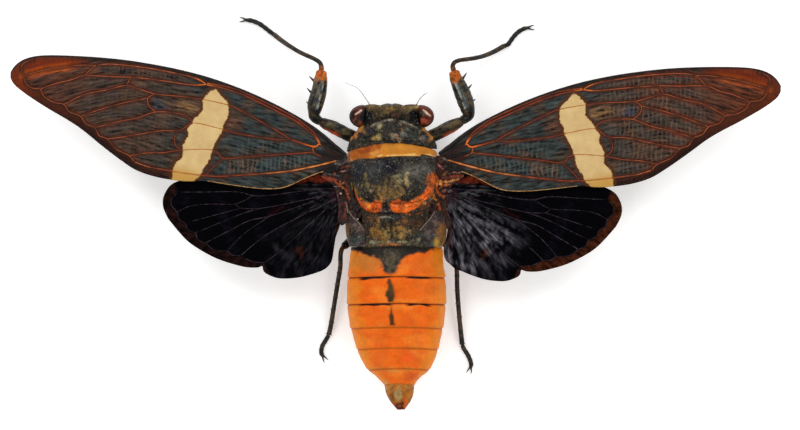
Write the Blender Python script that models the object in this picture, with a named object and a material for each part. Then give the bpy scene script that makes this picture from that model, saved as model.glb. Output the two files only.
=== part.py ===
"""Banded cicada, a male with its wings spread, life size: one closed solid for each named part.

Sizes are in millimetres and are turned into Blender's metres where a mesh is made.
+Z is up, the head faces -Y, the animal's left side is +X, and the floor is z = 0.
"""
import bisect
import math

import bmesh
import bpy
from mathutils import Vector, geometry

MM = 0.001
SEAM = 0.3
FLOOR = 0.0

# Body outline: (place along Y, value), the head end first
AXIS = ((-20, 0.9), (-10, 0.7), (-4, 0.42), (6, 0.0), (16, 0.0), (26, -0.3), (35, -0.8))
BODY_HALF_WIDTH = (
    (-18.9, 5.4), (-17, 6.1), (-16.4, 6.4), (-15.2, 7.1), (-14.2, 7.6), (-12.5, 7.85), (-10, 7.95),
    (-4, 8.28), (2, 8.1), (6, 8.1), (11, 8.55), (14, 8.72), (18, 8.4), (21, 7.8), (23.5, 7.1), (25.6, 6.3),
    (27.2, 5.3), (28.6, 3.7), (29.8, 2.7), (31.6, 2.35), (33, 1.8), (34.3, 1.1),
)
BODY_TOP = (
    (-18.6, 11.6), (-16.5, 13.0), (-13, 14.4), (-10, 15.4), (-4, 16.6), (0, 16.0), (3, 15.2), (6, 15.3),
    (11, 15.8), (16, 15.4), (20, 14.5), (24, 13.2), (27, 12.0), (30, 10.3), (33, 8.6), (34.5, 7.6),
)
BODY_BOTTOM = (
    (-18.6, 5.2), (-16, 4.4), (-12, 3.8), (-8, 3.2), (0, 3.0), (6, 2.3), (11, 1.9), (16, 2.1),
    (20, 2.6), (24, 3.4), (27, 4.1), (30, 4.8), (33, 5.7), (34.5, 6.4),
)
BODY_ROUNDNESS = 2.4
HEAD_ROUNDNESS = 3.0
RING_POINTS = 24
NOTUM_FLOOR = 13.1
NOTUM_EDGE = 0.25
NOTUM_FULLNESS = 0.8
THORAX_HALF_WIDTH = (
    (-10, 8.0), (-7, 8.2), (-4.5, 8.3), (-2.6, 8.2), (-1.6, 6.7), (2, 6.5), (4, 6.5), (6, 6.5),
)
THORAX_CORNER = 0.6

# Seams across the body: place at the middle, how far the sides lie behind it, and the curve's power
HEAD_FRONT = (-18.75, 0.4, 2)
NECK = (-16.9, 2.3, 2)
COLLAR_FRONT = (-12.3, 1.3, 2)
COLLAR_REAR = (-9.95, 1.0, 2)
SHIELD_REAR = (-1.7, -3.4, 4)
CROSS_REAR = (0.0, -4.0, 6)
NOTUM_REACH = 7.2
SHIELD_HALF_WIDTH = (7.3, 7.15)
CROSS_HALF_WIDTH = (7.1, 6.9)
METANOTUM_HALF_WIDTH = (5.5, 5.75)
WAIST = (5.9, 0.3, 2)
ABDOMEN_SEAMS = (10.95, 15.65, 19.85, 23.5, 27.1, 29.8)
ABDOMEN_SWEEP = 0.3
TAIL_TIP = 34.45

# Head parts
CHEEK = 4.7
EYE_REACH = 7.45
EYE_RADII = (2.45, 2.05, 2.1)
EYE_PLACE = (-17.0, 9.7)
CLYPEUS_HALF_WIDTH = 1.85
CLYPEUS_FRONT = -19.35
CLYPEUS_Z = 8.2
CLYPEUS_HALF_HEIGHT = 2.9
PLATE_HALF_WIDTH = 1.35
PLATE_OFFSET = 3.3
PLATE_FRONT = -19.25
PLATE_Z = 10.0
PLATE_HALF_HEIGHT = 1.1

# Wings, in their own axes: u runs out along the wing, v towards its front edge
MEMBRANE = 0.5
RIDGE = 0.22
RIDGE_HALF_WIDTH = 0.42
FOOT_CLEARANCE = 0.9
RIM_CLEARANCE = 0.3
WING_ROOT_Z = 12.6
WING_LAYER = 1.5
WING_DROOP = 1.6
WING_SPAN = 66.0
WING_CAMBER = 0.0035
CAMBER_LINE = -8.0
OUTLINE_STEP = 2.4
VEIN_STEP = 2.6
FORE_SIDES = {"left": (1, (9.01, -9.71), 14.24, 0.996), "right": (-1, (-7.61, -9.89), 11.6, 1.004)}
HIND_SIDES = {"left": (1, (9.01, -4.11), 0.0, 1.0), "right": (-1, (-8.26, -4.11), -2.64, 0.982)}

FORE_FRONT = (
    (0, 0.75), (4, 2.9), (8, 4.5), (14, 6.1), (20, 7.2), (26, 7.8), (31, 7.9), (36, 7.7), (42, 7.15),
    (48, 6.2), (54, 4.95), (57, 4.05), (59, 2.95), (60.2, 1.6), (60.75, 0.2),
)
FORE_REAR = (
    (60.5, -0.8), (59.5, -1.8), (57, -2.95), (53, -4.3), (49, -5.45), (46, -6.5), (42, -8.35),
    (38, -10.05), (35, -11.05), (31.5, -11.35), (28, -11.1), (25.5, -10.65), (23, -9.95), (19, -9.6),
    (14, -9.05), (10.5, -8.3), (8.5, -7.3), (6, -5.3), (4, -3.7), (2.2, -3.0), (0.5, -2.6),
)
HIND_FRONT = (
    (0, 2.0), (0.8, 3.2), (2.5, 3.6), (4.5, 3.4), (8, 2.8), (12, 2.2), (16, 2.1), (20, 2.3), (24, 2.4),
    (27, 2.2), (29.3, 1.55), (30.8, 0.6), (31.8, -1.2), (31.85, -3), (31, -5),
)
HIND_REAR = (
    (29.4, -7), (27.5, -9), (25, -10.7), (22, -12.2), (18, -13.4), (15.6, -13.6), (14.5, -13.35),
    (14.4, -13.9), (13.9, -14.6), (12, -15.4), (10, -15.5), (8, -15.3), (6, -14.8), (4, -14.1),
)
HIND_INNER = {
    "left": ((3, -13.4), (2.3, -12.3), (1.9, -10), (1.6, -8.2), (0.9, -6.2), (0.4, -3.5), (0.2, -1.2)),
    "right": ((2.6, -13.6), (1.9, -12.9), (1.1, -11.8), (1.05, -10), (1.05, -6), (0.85, -3.5), (0.2, -1.2)),
}

# Veins, each a line of (u, v) places; a vein that leaves another starts on one of its places
FORE_VEINS = {
    "costa": (
        (0.6, 0.5), (4, 2.45), (8, 4.1), (14, 5.7), (20, 6.85), (26, 7.42), (31, 7.5), (36, 7.3), (42, 6.75),
        (48, 5.8), (54, 4.5), (57.3, 3.4),
    ),
    "radius": (
        (4.9, 1.3), (6, 2.3), (8, 3.3), (10, 4.2), (14, 5.2), (18, 6.1), (22, 6.7), (25, 6.75), (26.8, 6.5),
    ),
    "subcosta": ((26.8, 6.5), (29, 6.75), (32, 6.75), (36, 6.6), (41, 6.1), (44.5, 5.6), (46.3, 5.0)),
    "apical": ((46.3, 5.0), (49, 4.4), (52, 3.3), (55, 2.0), (58.4, 0.1)),
    "branch": ((46.3, 5.0), (47.2, 4.1), (47.9, 2.8)),
    "sector": (
        (26.8, 6.5), (29, 5.85), (33, 5.4), (37, 4.95), (39.9, 4.5), (43, 3.8), (47.9, 2.8), (50, 1.5),
        (52.5, 0.2), (54.9, -1.45),
    ),
    "cross_1": ((39.9, 4.5), (40.4, 2.9)),
    "media_1": (
        (10, 0.8), (13, 1.75), (17, 2.85), (20, 3.6), (22, 3.95), (26, 3.85), (30, 3.45), (35.1, 2.7),
        (38, 2.85), (40.4, 2.9), (43.5, 1.3), (47, -0.35), (50.2, -3.0),
    ),
    "cross_2": ((35.1, 2.7), (36.15, 1.65), (35.6, 0.4), (34.2, -0.35)),
    "media_2": ((36.15, 1.65), (39, 0.35), (42.5, -1.5), (46.9, -4.3)),
    "media_3": (
        (10, 0.8), (12, 0.25), (15, -0.1), (19, -0.45), (23, -0.4), (27.3, -0.6), (29.3, -2.4), (32.5, -3.3),
        (36, -4.8), (39, -6.1), (41.3, -7.0),
    ),
    "media_4": (
        (27.3, -0.6), (28.7, 0.3), (31, 0.3), (34.2, -0.35), (37, -2.1), (40.5, -3.75), (43.9, -5.65),
    ),
    "cross_3": ((29.3, -2.4), (29.85, -3.6), (29.5, -5.0), (28.3, -5.75)),
    "cubitus": (
        (5.6, -0.4), (9, -1.5), (13, -2.8), (17, -4.1), (20.6, -5.3), (22, -4.5), (24, -4.5), (28.3, -5.75),
        (31, -6.85), (34, -7.7), (36.8, -8.9),
    ),
    "cubitus_2": ((20.6, -5.3), (22, -7.2), (23, -9.0)),
    "stem": ((0.8, 0.0), (3, 0.6), (4.9, 1.3), (5.8, 0.55), (10, 0.8)),
    "cell": ((5.8, 0.55), (5.6, -0.4), (3.3, -0.9)),
    "claval": (
        (1.2, -0.8), (5, -2.8), (9, -4.65), (13, -6.1), (17, -7.4), (20.5, -8.5), (23, -9.0), (26, -9.4),
        (30, -9.75), (33, -9.95), (35.7, -9.7),
    ),
    "ambient": (
        (57.3, 3.4), (58.8, 2.4), (59.1, 1.3), (58.4, 0.1), (57.6, -1.1), (56.4, -1.6), (54.9, -1.45),
        (54.0, -2.5), (52, -3.1), (50.2, -3.0), (49, -4.0), (46.9, -4.3), (45.6, -5.35), (43.9, -5.65),
        (42.8, -6.8), (41.3, -7.0), (39.4, -8.3), (36.8, -8.9), (35.7, -9.7),
    ),
}
HIND_VEINS = {
    "front": (
        (0.8, 0.3), (4, 0.2), (7.9, -0.2), (13.1, -0.9), (16.1, -0.96), (19, -0.3), (25, -0.35),
        (29.2, -0.35),
    ),
    "second": ((16.1, -0.96), (19.2, -2.4), (23.6, -2.45), (27.1, -2.8), (29.4, -3.85)),
    "third": ((3.2, -0.75), (7.9, -1.9), (14.5, -3.15), (18.2, -3.15), (19.2, -2.4)),
    "fourth": ((18.2, -3.15), (23.6, -4.6), (28, -5.8)),
    "fifth": ((14.5, -3.15), (18.2, -4.2), (24.5, -6.8), (26.3, -7.5)),
    "sixth": ((0.9, -0.35), (3.2, -0.75), (6.3, -2.2), (13, -4.5), (16.6, -5.3), (19.3, -6.6), (24.5, -9.3)),
    "seventh": ((13, -4.5), (17.5, -7.5), (20.7, -10.7)),
    "cubitus": ((1.4, -1.4), (4.4, -2.9), (7.9, -4.6), (14, -8.0), (18.3, -11.5)),
    "fold": ((1.4, -1.4), (4.4, -4.3), (7.9, -7.5), (11.4, -10.7), (14.1, -12.7)),
    "anal_1": ((1.4, -3.2), (3.9, -6), (6.0, -9.5), (9.0, -13.3)),
    "anal_2": ((1.4, -3.2), (3.3, -8), (4.6, -11), (6.0, -13.2)),
    "ambient": (
        (29.2, -0.35), (30.4, -1.6), (30.3, -2.8), (29.4, -3.85), (28, -5.8), (26.3, -7.5), (24.5, -9.3),
        (22.8, -10.4), (20.7, -10.7), (18.3, -11.5), (14.1, -12.7),
    ),
}

# Operculum plates under the belly: from the midline outward, and their length
OPERCULUM_INNER = 0.35
OPERCULUM_WIDTH = ((3.0, 2.6), (5, 4.3), (7.5, 4.2), (9.6, 1.6))
OPERCULUM_THICK = 0.6

# Tymbal covers: cross-section outside the thorax as (x from the body's middle, z), inner edge then outer
COVER_FRONT = -0.5
COVER_REAR = 5.75
COVER_INNER = ((6.95, 8.2), (6.95, 10.5), (6.95, 12.9), (6.3, 13.9))
COVER_OUTER = ((6.9, 14.3), (8.0, 13.4), (8.8, 11.6), (8.65, 9.6), (7.6, 8.2))
COVER_ROWS = 6
COVER_SWELL = (0.45, 0.55)
COVER_ARC = (0.12, 0.88)

# Feelers and beak
FEELERS = {
    "left": ((4.8, -19.45, 9.3), (5.5, -20.2, 9.3), (6.4, -21.3, 9.1), (7.3, -22.0, 8.9), (9.0, -22.85, 8.6)),
    "right": ((-3.6, -19.45, 9.3), (-4.1, -20.1, 9.3), (-4.8, -20.8, 9.2), (-5.35, -21.1, 9.1)),
}
FEELER_RADII = (0.34, 0.3, 0.26, 0.25, 0.16)
BEAK = ((0.85, -17.7, 4.5), (0.82, -17.3, 3.7), (0.75, -16.0, 3.1), (0.6, -12.5, 2.6), (0.5, -8.6, 2.2))
BEAK_RADII = (0.6, 0.6, 0.5, 0.42, 0.2)

# Legs: for each length its joints as (x, y, z, radius), the foot last with its floor line
LEG_SIDES = 8
STEEP = 0.8
LEGS = {
    "front_left": {
        "coxa": ((7.7, -13.5, 6.6, 1.0), (10.2, -14.7, 7.0, 1.05), (13.2, -16.1, 7.2, 0.95)),
        "femur": (
            (13.2, -16.1, 7.2, 0.9), (14.0, -16.5, 7.3, 0.95), (14.5, -17.2, 7.5, 1.0),
            (14.35, -18.5, 7.9, 1.35), (14.1, -19.6, 8.2, 1.42), (13.6, -21.4, 8.7, 1.3),
            (13.3, -23.4, 9.3, 1.2), (13.15, -25.1, 9.6, 0.95),
        ),
        "tibia": (
            (13.15, -25.1, 9.6, 0.5), (13.3, -26.2, 9.2, 0.42), (14.2, -27.0, 8.6, 0.4),
            (16.9, -28.3, 6.5, 0.4), (18.7, -29.4, 4.6, 0.42), (20.4, -30.6, 2.4, 0.45),
            (21.6, -31.6, 0.9, 0.45),
        ),
        "tarsus": (
            (21.6, -31.6, 0.9, 0.4), (22.2, -32.0, 0.42, 0.42), (23.2, -32.8, 0.36, 0.42),
            (24.2, -33.5, 0.36, 0.42), (25.4, -34.0, 0.36, 0.42), (26.2, -34.15, 0.36, 0.38),
            (26.9, -34.2, 0.3, 0.25),
        ),
    },
    "front_right": {
        "coxa": ((-6.2, -13.6, 6.6, 1.0), (-8.8, -14.9, 7.0, 1.05), (-11.4, -16.3, 7.2, 0.95)),
        "femur": (
            (-11.4, -16.3, 7.2, 0.9), (-12.2, -16.7, 7.3, 0.95), (-12.7, -17.4, 7.5, 1.05),
            (-12.4, -18.6, 7.9, 1.35), (-11.9, -20.2, 8.3, 1.45), (-11.2, -21.9, 8.7, 1.35),
            (-10.5, -23.5, 9.2, 1.15), (-10.0, -25.0, 9.5, 0.9),
        ),
        "tibia": (
            (-10.0, -25.0, 9.5, 0.5), (-9.9, -26.1, 9.1, 0.42), (-10.8, -26.8, 8.5, 0.4),
            (-13.7, -27.3, 6.2, 0.4), (-15.5, -27.8, 4.4, 0.42), (-17.3, -28.6, 2.4, 0.45),
            (-19.0, -29.6, 0.9, 0.45),
        ),
        "tarsus": (
            (-19.0, -29.6, 0.9, 0.4), (-19.7, -29.9, 0.42, 0.42), (-20.5, -31.0, 0.36, 0.42),
            (-21.3, -31.9, 0.36, 0.42), (-22.2, -32.5, 0.36, 0.4), (-22.9, -32.75, 0.36, 0.36),
            (-23.5, -32.8, 0.3, 0.25),
        ),
    },
    "middle_left": {
        "coxa": ((4.6, -4.2, 2.9, 0.85), (4.8, -4.2, 2.2, 0.85), (5.9, -4.1, 1.8, 0.75)),
        "femur": (
            (5.9, -4.1, 1.8, 0.7), (7.0, -4.0, 2.2, 0.8), (10.0, -3.8, 4.6, 0.85), (12.6, -3.6, 6.4, 0.75),
        ),
        "tibia": (
            (12.6, -3.6, 6.4, 0.45), (13.4, -3.4, 6.5, 0.42), (14.6, -2.9, 5.9, 0.4),
            (17.2, -1.6, 3.4, 0.42), (19.4, -0.4, 0.95, 0.45),
        ),
        "tarsus": (
            (19.4, -0.4, 0.95, 0.4), (20.0, -0.05, 0.42, 0.42), (21.3, 0.7, 0.36, 0.42),
            (22.6, 1.6, 0.36, 0.4), (23.3, 2.1, 0.3, 0.25),
        ),
    },
    "hind_left": {
        "coxa": ((3.5, 1.2, 2.45, 0.8), (3.6, 1.2, 1.95, 0.8), (4.9, 1.8, 1.7, 0.7)),
        "femur": ((4.9, 1.8, 1.7, 0.65), (5.8, 2.5, 2.1, 0.75), (8.1, 4.8, 4.4, 0.75), (9.3, 5.8, 5.7, 0.65)),
        "tibia": (
            (9.3, 5.8, 5.7, 0.45), (9.7, 6.5, 5.9, 0.42), (9.85, 7.6, 5.6, 0.42), (9.9, 9.5, 4.9, 0.42),
            (10.4, 12.5, 3.8, 0.42), (11.0, 16.2, 2.5, 0.42), (11.6, 19.8, 1.3, 0.44),
            (12.0, 21.5, 0.85, 0.45),
        ),
        "tarsus": (
            (12.0, 21.5, 0.85, 0.4), (12.4, 22.2, 0.42, 0.42), (13.1, 23.4, 0.36, 0.42),
            (13.3, 24.5, 0.36, 0.42), (13.1, 25.0, 0.36, 0.38), (12.85, 25.4, 0.3, 0.25),
        ),
    },
    "hind_right": {
        "coxa": ((-3.5, 1.2, 2.45, 0.8), (-3.6, 1.2, 1.95, 0.8), (-4.9, 1.8, 1.7, 0.7)),
        "femur": (
            (-4.9, 1.8, 1.7, 0.65), (-5.8, 2.5, 2.1, 0.75), (-8.2, 4.9, 4.4, 0.75), (-9.5, 6.0, 5.7, 0.65),
        ),
        "tibia": (
            (-9.5, 6.0, 5.7, 0.45), (-10.0, 6.8, 5.9, 0.42), (-10.4, 8.0, 5.6, 0.42),
            (-10.6, 10.0, 5.0, 0.42),
            (-10.7, 13.5, 3.9, 0.42), (-11.0, 17.5, 2.6, 0.42), (-11.35, 21.0, 1.4, 0.44),
            (-11.6, 23.2, 0.85, 0.45),
        ),
        "tarsus": (
            (-11.6, 23.2, 0.85, 0.4), (-11.9, 23.9, 0.42, 0.42), (-12.6, 25.0, 0.36, 0.42),
            (-13.1, 26.2, 0.36, 0.42), (-13.15, 26.9, 0.36, 0.38), (-13.0, 27.4, 0.3, 0.25),
        ),
    },
}
MIDDLE_RIGHT_SHIFT = 0.9
CLAW_LENGTH = 1.0
CLAW_ROOT = 0.4
CLAW_REACH = 0.9
CLAW_APART = 0.08
CLAW_SPREAD = 0.42
CLAW_RADIUS = 0.17
CLAW_TIP_Z = 0.12
SPINE_RADIUS = 0.27
FEMUR_SPINES = {
    "front_left": (
        ((14.2, -23.0, 9.1), (15.35, -24.1, 8.7)), ((14.5, -20.7, 8.5), (15.75, -22.05, 8.0)),
        ((14.9, -18.8, 8.0), (15.9, -19.7, 7.5)),
    ),
    "front_right": (
        ((-11.3, -23.2, 9.1), (-12.35, -24.75, 8.7)), ((-12.0, -21.3, 8.5), (-13.3, -22.75, 8.0)),
        ((-12.7, -19.2, 8.0), (-13.9, -20.1, 7.5)),
    ),
}


def along(table, at):
    """Return the value of a table of (place, value) at a place, with smooth slopes and no overshoot."""
    places = [row[0] for row in table]
    if at <= places[0]:
        return table[0][1]
    if at >= places[-1]:
        return table[-1][1]

    def secant(k):
        k = min(max(k, 0), len(table) - 2)
        return (table[k + 1][1] - table[k][1]) / (table[k + 1][0] - table[k][0])

    def slope(k):
        before, after = secant(k - 1), secant(k)
        if before * after <= 0:
            return 0.0
        return 2 * before * after / (before + after)

    k = bisect.bisect_right(places, at) - 1
    step = places[k + 1] - places[k]
    t = (at - places[k]) / step
    start, end = table[k][1], table[k + 1][1]
    return (
        start * (1 + 2 * t) * (1 - t) ** 2
        + slope(k) * step * t * (1 - t) ** 2
        + end * t * t * (3 - 2 * t)
        + slope(k + 1) * step * t * t * (t - 1)
    )


def clear_scene():
    """Remove every object of the start file."""
    for item in list(bpy.data.objects):
        bpy.data.objects.remove(item, do_unlink=True)


def make_collection(name):
    """Return a new collection linked to the scene."""
    collection = bpy.data.collections.new(name)
    bpy.context.scene.collection.children.link(collection)
    return collection


def make_material(name, colour, roughness):
    """Return a Principled material of one colour."""
    material = bpy.data.materials.new(name)
    material.use_nodes = True
    shader = material.node_tree.nodes["Principled BSDF"]
    shader.inputs["Base Color"].default_value = (*colour, 1.0)
    shader.inputs["Roughness"].default_value = roughness
    shader.inputs["Metallic"].default_value = 0.0
    material.diffuse_color = (*colour, 1.0)
    return material


def add_mesh(name, points, faces, material, collection):
    """Make one object from points in millimetres, with its faces turned outward."""
    mesh = bpy.data.meshes.new(name)
    mesh.from_pydata([Vector(point) * MM for point in points], [], faces)
    work = bmesh.new()
    work.from_mesh(mesh)
    bmesh.ops.recalc_face_normals(work, faces=work.faces)
    work.to_mesh(mesh)
    work.free()
    mesh.materials.append(material)
    item = bpy.data.objects.new(name, mesh)
    collection.objects.link(item)
    return item


def skin_rings(rings):
    """Return points and faces of a closed skin through rings of equal count, with flat fans at its ends."""
    count = len(rings[0])
    points = [point for ring in rings for point in ring]
    faces = []
    for row in range(len(rings) - 1):
        for k in range(count):
            a = row * count + k
            b = row * count + (k + 1) % count
            faces.append((a, b, b + count, a + count))
    for row in (0, len(rings) - 1):
        ring = rings[row]
        middle = sum((Vector(point) for point in ring), Vector()) / count
        points.append(middle)
        hub = len(points) - 1
        for k in range(count):
            faces.append((hub, row * count + k, row * count + (k + 1) % count))
    return points, faces


def body_ring(y, bow, grow, count, roundness):
    """Return a ring round the body at a place: a superellipse, bowed back at its sides."""
    centre = along(AXIS, y)
    half = along(BODY_HALF_WIDTH, y) * grow
    top = along(BODY_TOP, y)
    bottom = along(BODY_BOTTOM, y)
    middle = (top + bottom) / 2
    rise = (top - bottom) / 2 * grow
    ring = []
    for k in range(count):
        turn = math.tau * k / count
        c, s = math.cos(turn), math.sin(turn)
        x = half * math.copysign(abs(c) ** (2 / roundness), c)
        z = middle + rise * math.copysign(abs(s) ** (2 / roundness), s)
        ring.append((centre + x, y + bow * (x / half) ** 2, z))
    return ring


def body_length(name, front, rear, material, collection, rows=4, roundness=BODY_ROUNDNESS, bulge=0.02):
    """Make one length of the body between two seams given as (middle, sweep of the sides)."""
    start, end = front[0] + SEAM / 2, rear[0] - SEAM / 2
    rings = []
    for row in range(rows + 1):
        t = row / rows
        y = start + (end - start) * t
        bow = front[1] + (rear[1] - front[1]) * t
        grow = 1 - bulge * (2 * t - 1) ** 2
        rings.append(body_ring(y, bow, grow, RING_POINTS, roundness))
    return add_mesh(name, *skin_rings(rings), material, collection)


def notum_plate(name, front, rear, width, material, collection, count=16, rows=5):
    """Make a domed plate of the back between two seams, flat underneath."""
    start, end = front[0] + SEAM / 2, rear[0] - SEAM / 2
    rings = []
    for row in range(rows + 1):
        t = row / rows
        y = start + (end - start) * t
        bow = front[1] + (rear[1] - front[1]) * t
        half = width[0] + (width[1] - width[0]) * t
        power = front[2] + (rear[2] - front[2]) * t
        rise = along(BODY_TOP, y) - NOTUM_FLOOR - SEAM
        ring = []
        for k in range(count + 1):
            turn = math.pi * k / count
            x = half * math.cos(turn)
            z = NOTUM_FLOOR + SEAM + NOTUM_EDGE + (rise - NOTUM_EDGE) * math.sin(turn) ** NOTUM_FULLNESS
            ring.append((along(AXIS, y) + x, y + bow * abs(x / NOTUM_REACH) ** power, z))
        for k in range(count // 2 + 1):
            x = -half * math.cos(math.pi * k / (count // 2))
            ring.append((along(AXIS, y) + x, y + bow * abs(x / NOTUM_REACH) ** power, NOTUM_FLOOR + SEAM))
        rings.append(ring)
    return add_mesh(name, *skin_rings(rings), material, collection)


def lower_thorax(material, collection):
    """Make the sides and underside that carry the wings and legs, flat on top under the plates."""
    start, end = COLLAR_REAR[0] + SEAM / 2, WAIST[0] - SEAM / 2
    places = [start] + [row[0] for row in THORAX_HALF_WIDTH[1:-1]] + [end]
    rings = []
    for y in places:
        t = (y - start) / (end - start)
        bow = COLLAR_REAR[1] + (WAIST[1] - COLLAR_REAR[1]) * t
        half = along(THORAX_HALF_WIDTH, y)
        bottom = along(BODY_BOTTOM, y)
        middle = (NOTUM_FLOOR + bottom) / 2
        ring = []
        for k in range(RING_POINTS):
            turn = math.tau * k / RING_POINTS
            c, s = math.cos(turn), math.sin(turn)
            x = half * math.copysign(abs(c) ** THORAX_CORNER, c)
            z = middle + (NOTUM_FLOOR - bottom) / 2 * math.copysign(abs(s) ** THORAX_CORNER, s)
            ring.append((along(AXIS, y) + x, y + bow * (x / half) ** 2, z))
        rings.append(ring)
    return add_mesh("thorax", *skin_rings(rings), material, collection)


def belly_height(x, y):
    """Return the height of the abdomen's underside at a place."""
    half = along(BODY_HALF_WIDTH, y)
    top = along(BODY_TOP, y)
    bottom = along(BODY_BOTTOM, y)
    ratio = min(abs(x - along(AXIS, y)) / half, 1.0)
    return (top + bottom) / 2 - (top - bottom) / 2 * (1 - ratio**BODY_ROUNDNESS) ** (1 / BODY_ROUNDNESS)


def operculum(side, sign, material, collection):
    """Make the plate under one sound chamber, following the belly at a seam's distance."""
    rings = []
    rows, columns = 6, 6
    first, last = OPERCULUM_WIDTH[0][0], OPERCULUM_WIDTH[-1][0]
    for row in range(rows + 1):
        y = first + (last - first) * row / rows
        width = along(OPERCULUM_WIDTH, y)
        under, over = [], []
        for k in range(columns + 1):
            x = along(AXIS, y) + sign * (OPERCULUM_INNER + width * k / columns)
            z = belly_height(x, y) - SEAM
            over.append((x, y, z))
            under.append((x, y, z - OPERCULUM_THICK))
        rings.append(over + under[::-1])
    return add_mesh(f"operculum_{side}", *skin_rings(rings), material, collection)


def tymbal_cover(side, sign, material, collection):
    """Make the domed cover over one tymbal, at the side of the body behind the wings."""
    rings = []
    for row in range(COVER_ROWS + 1):
        t = row / COVER_ROWS
        y = COVER_FRONT + (COVER_REAR - COVER_FRONT) * t
        arc = COVER_ARC[0] + (COVER_ARC[1] - COVER_ARC[0]) * t
        swell = COVER_SWELL[0] + COVER_SWELL[1] * math.sin(math.pi * arc)
        ring = [(along(AXIS, y) + sign * x, y, z) for x, z in COVER_INNER]
        for x, z in COVER_OUTER:
            wide = COVER_INNER[0][0] + (x - COVER_INNER[0][0]) * swell
            ring.append((along(AXIS, y) + sign * wide, y, z))
        rings.append(ring)
    return add_mesh(f"tymbal_cover_{side}", *skin_rings(rings), material, collection)


def trim(item, place, normal):
    """Cut a closed solid flat at a plane, keep what lies behind it and close the cut."""
    work = bmesh.new()
    work.from_mesh(item.data)
    geom = work.verts[:] + work.edges[:] + work.faces[:]
    bmesh.ops.bisect_plane(
        work, geom=geom, plane_co=Vector(place) * MM, plane_no=normal, clear_outer=True, dist=1e-6
    )
    bmesh.ops.contextual_create(work, geom=[edge for edge in work.edges if edge.is_boundary])
    bmesh.ops.triangulate(work, faces=[face for face in work.faces if len(face.verts) > 4])
    bmesh.ops.recalc_face_normals(work, faces=work.faces)
    work.to_mesh(item.data)
    work.free()


def ellipsoid(name, centre, radii, material, collection, cut, normal, columns=16, rows=10):
    """Make an ellipsoid, cut flat at a place where it meets what carries it."""
    work = bmesh.new()
    bmesh.ops.create_uvsphere(work, u_segments=columns, v_segments=rows, radius=1.0)
    bmesh.ops.scale(work, vec=Vector(radii) * MM, verts=work.verts)
    bmesh.ops.translate(work, vec=Vector(centre) * MM, verts=work.verts)
    mesh = bpy.data.meshes.new(name)
    work.to_mesh(mesh)
    work.free()
    mesh.materials.append(material)
    item = bpy.data.objects.new(name, mesh)
    collection.objects.link(item)
    if cut is not None:
        trim(item, cut, normal)
    return item


def heading(joints, k):
    """Return the direction of the length that starts at joint k of (x, y, z, radius) rows."""
    return (Vector(joints[k + 1][:3]) - Vector(joints[k][:3])).normalized()


def limb(name, joints, material, collection, sides=LEG_SIDES, first=None, last=None):
    """Make one length of a leg, feeler or beak from (x, y, z, radius) rows.

    Its end faces lie square to the directions first and last, half a seam in from the joint,
    and it is pressed flat where it meets the floor.
    """
    path = [Vector(joint[:3]) for joint in joints]
    facing = [heading(joints, 0)]
    facing += [(heading(joints, k - 1) + heading(joints, k)).normalized() for k in range(1, len(path) - 1)]
    facing += [heading(joints, len(path) - 2)]
    facing[0] = first or facing[0]
    facing[-1] = last or facing[-1]
    path[0] = path[0] + facing[0] * SEAM / 2
    path[-1] = path[-1] - facing[-1] * SEAM / 2
    rings = []
    across = facing[0].cross(Vector((0.05, 0.03, 1)))
    for point, ahead, joint in zip(path, facing, joints):
        if abs(ahead.z) < STEEP:
            level = ahead.cross(Vector((0, 0, 1)))
            across = level if level.dot(across) > 0 else -level
        across = (across - ahead * across.dot(ahead)).normalized()
        up = across.cross(ahead)
        ring = []
        for n in range(sides):
            turn = math.tau * (n + 0.5) / sides
            spot = point + (across * math.cos(turn) + up * math.sin(turn)) * joint[3]
            ring.append((spot.x, spot.y, max(spot.z, FLOOR)))
        rings.append(ring)
    return add_mesh(name, *skin_rings(rings), material, collection)


def claws(joints):
    """Return the two claws that spread from the end of a tarsus."""
    ahead = heading(joints, len(joints) - 2)
    ahead = Vector((ahead.x, ahead.y, 0)).normalized()
    beside = Vector((-ahead.y, ahead.x, 0))
    end = Vector(joints[-1][:3])
    pair = []
    for sign in (1, -1):
        base = end - ahead * CLAW_LENGTH * CLAW_ROOT + beside * sign * CLAW_APART
        tip = end + ahead * CLAW_LENGTH * CLAW_REACH + beside * sign * CLAW_SPREAD
        tip.z = CLAW_TIP_Z
        pair.append((base, tip, CLAW_RADIUS))
    return pair


def spike(base, tip, radius, sides=5):
    """Return points and faces of a closed cone from a base to a tip."""
    base, tip = Vector(base), Vector(tip)
    ahead = (tip - base).normalized()
    across = ahead.cross(Vector((0, 0, 1))).normalized()
    up = across.cross(ahead)
    points = [
        base + (across * math.cos(math.tau * n / sides) + up * math.sin(math.tau * n / sides)) * radius
        for n in range(sides)
    ]
    faces = [(n, (n + 1) % sides, sides) for n in range(sides)] + [tuple(range(sides))[::-1]]
    return points + [tip], faces


def fuse(item, spikes, material):
    """Join cones to a solid with one Boolean union and keep the largest closed surface."""
    cutters = bpy.data.collections.new("spikes")
    bpy.context.scene.collection.children.link(cutters)
    for n, (base, tip, radius) in enumerate(spikes):
        add_mesh(f"spike_{n}", *spike(base, tip, radius), material, cutters)
    union = item.modifiers.new("union", "BOOLEAN")
    union.operation = "UNION"
    union.operand_type = "COLLECTION"
    union.collection = cutters
    union.solver = "EXACT"
    graph = bpy.context.evaluated_depsgraph_get()
    merged = bpy.data.meshes.new_from_object(item.evaluated_get(graph))
    item.modifiers.clear()
    item.data = merged
    for extra in list(cutters.objects):
        bpy.data.objects.remove(extra, do_unlink=True)
    bpy.data.collections.remove(cutters)
    keep_largest(item)


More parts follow.
